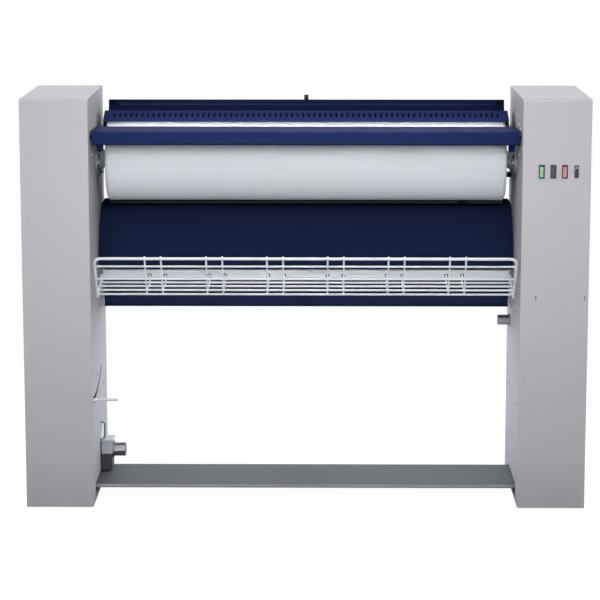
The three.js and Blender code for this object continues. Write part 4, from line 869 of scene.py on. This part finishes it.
def floor_material():
    """Pale floor: where it is seen, a glow lifts it to white and leaves the object's shadow."""
    n = Finish("floor")
    seen = n.seen()
    tone = n.mix(seen, FLOOR_TONE, FLOOR_SEEN_TONE)
    n.into(Base_Color=tone, Roughness=0.95, Specular_IOR_Level=0.0)
    glow = n.add("ShaderNodeEmission", {"Color": WHITE, "Strength": FLOOR_GLOW})
    share = n.math("MULTIPLY", seen, FLOOR_GLOW_SHARE)
    joined = n.add("ShaderNodeMixShader", {0: share, 1: n.shader.outputs[0], 2: glow.outputs[0]})
    n.feed(joined.outputs[0], n.tree.nodes["Material Output"].inputs["Surface"])
    return n.material


def floor():
    far = FLOOR_REACH
    mesh = bpy.data.meshes.new("floor")
    mesh.from_pydata([(-far, -far, 0), (far, -far, 0), (far, far, 0), (-far, far, 0)], [], [(0, 1, 2, 3)])
    plane = bpy.data.objects.new("floor", mesh)
    bpy.context.scene.collection.objects.link(plane)
    plane.data.materials.append(floor_material())


def world():
    """Soft sky, dimmer overhead, that is white where it is seen."""
    made = bpy.data.worlds.new("studio")
    bpy.context.scene.world = made
    made.use_nodes = True
    n = Nodes(made.node_tree)
    way = n.add("ShaderNodeTexCoord").outputs["Generated"]
    height = n.add("ShaderNodeSeparateXYZ", {0: way}).outputs["Z"]
    sky = n.mix(n.span(height, SKY_RISE, (0.0, 1.0)), HORIZON, ZENITH)
    back = n.tree.nodes["Background"]
    n.feed(n.mix(n.seen(), sky, WHITE), back.inputs["Color"])
    n.feed(1.0, back.inputs["Strength"])


floor()
world()


# Lamps and camera

MIDDLE = (0, 0, 0.9)
FRONT_AIM = (0, 0, 0.78)
COOL = (0.9, 0.95, 1.0)
COOLER = (0.88, 0.94, 1.0)
PALE_COOL = (0.92, 0.96, 1.0)
LENS_MM = 140.7
CAMERA_PLACE = Vector((0.0412, -6.204, 1.6117))
CAMERA_AIM = Vector((-0.0136, -0.215, 0.5597))


def aim(thing, place, target):
    thing.location = place
    thing.rotation_mode = "QUATERNION"
    thing.rotation_quaternion = (Vector(target) - Vector(place)).to_track_quat("-Z", "Y")


def lamp(name, place, target, size, power, colour=(1, 1, 1), spread=180, mirrored=False):
    """Soft panel that the camera never sees, and that shows in reflections only where mirrored is set."""
    data = bpy.data.lights.new(name, "AREA")
    data.shape = "RECTANGLE"
    data.size, data.size_y = size
    data.energy = power
    data.color = colour
    data.spread = math.radians(spread)
    made = bpy.data.objects.new(name, data)
    bpy.context.scene.collection.objects.link(made)
    made.visible_camera = False
    made.visible_glossy = mirrored
    aim(made, place, target)


def lamps():
    """Two front panels that fall off towards the floor, and fill from above, behind, inside and beside."""
    lamp("front", (0, -3.4, 1.45), FRONT_AIM, size=(3.0, 0.3), power=5.0, spread=52)
    lamp("front_high", (0, -3.3, 1.85), FRONT_AIM, size=(3.0, 0.4), power=4.3, spread=52)
    lamp("board", (0, -0.42, 1.55), (0, -0.15, 0.98), size=(0.95, 0.15), power=0.45, spread=40)
    lamp("high", (0, -1.5, 3.1), MIDDLE, size=(3.0, 0.8), power=14)
    lamp("gap", (0, -0.165, 1.032), (0, 0.04, 1.004), size=(1.0, 0.02), power=0.2, spread=60)
    lamp("top", (0, -0.1, 3.0), MIDDLE, size=(3.0, 0.7), power=4)
    lamp("back", (0, 3.0, 1.5), MIDDLE, size=(3.0, 1.2), power=15, colour=COOL, mirrored=True)
    lamp("between", (0, 1.5, 0.6), (0, 0, 0.45), size=(1.0, 0.7), power=17, colour=COOLER)
    for side in SIDES:
        lamp("inner", (side * 0.02, 0.05, 0.34), (side * 0.55, 0, 0.34), size=(0.5, 0.5), power=0.5,
             colour=PALE_COOL, spread=110)
        lamp("side", (side * 4.0, 0, 1.3), (side * 0.7, 0, 0.6), size=(1.6, 1.6), power=34)


def camera():
    data = bpy.data.cameras.new("camera")
    data.sensor_width = 36
    data.lens = LENS_MM
    data.clip_start = 0.1
    data.clip_end = 60
    made = bpy.data.objects.new("camera", data)
    bpy.context.scene.collection.objects.link(made)
    aim(made, CAMERA_PLACE, CAMERA_AIM)
    bpy.context.scene.camera = made


lamps()
camera()
bpy.context.scene.view_settings.view_transform = "Standard"
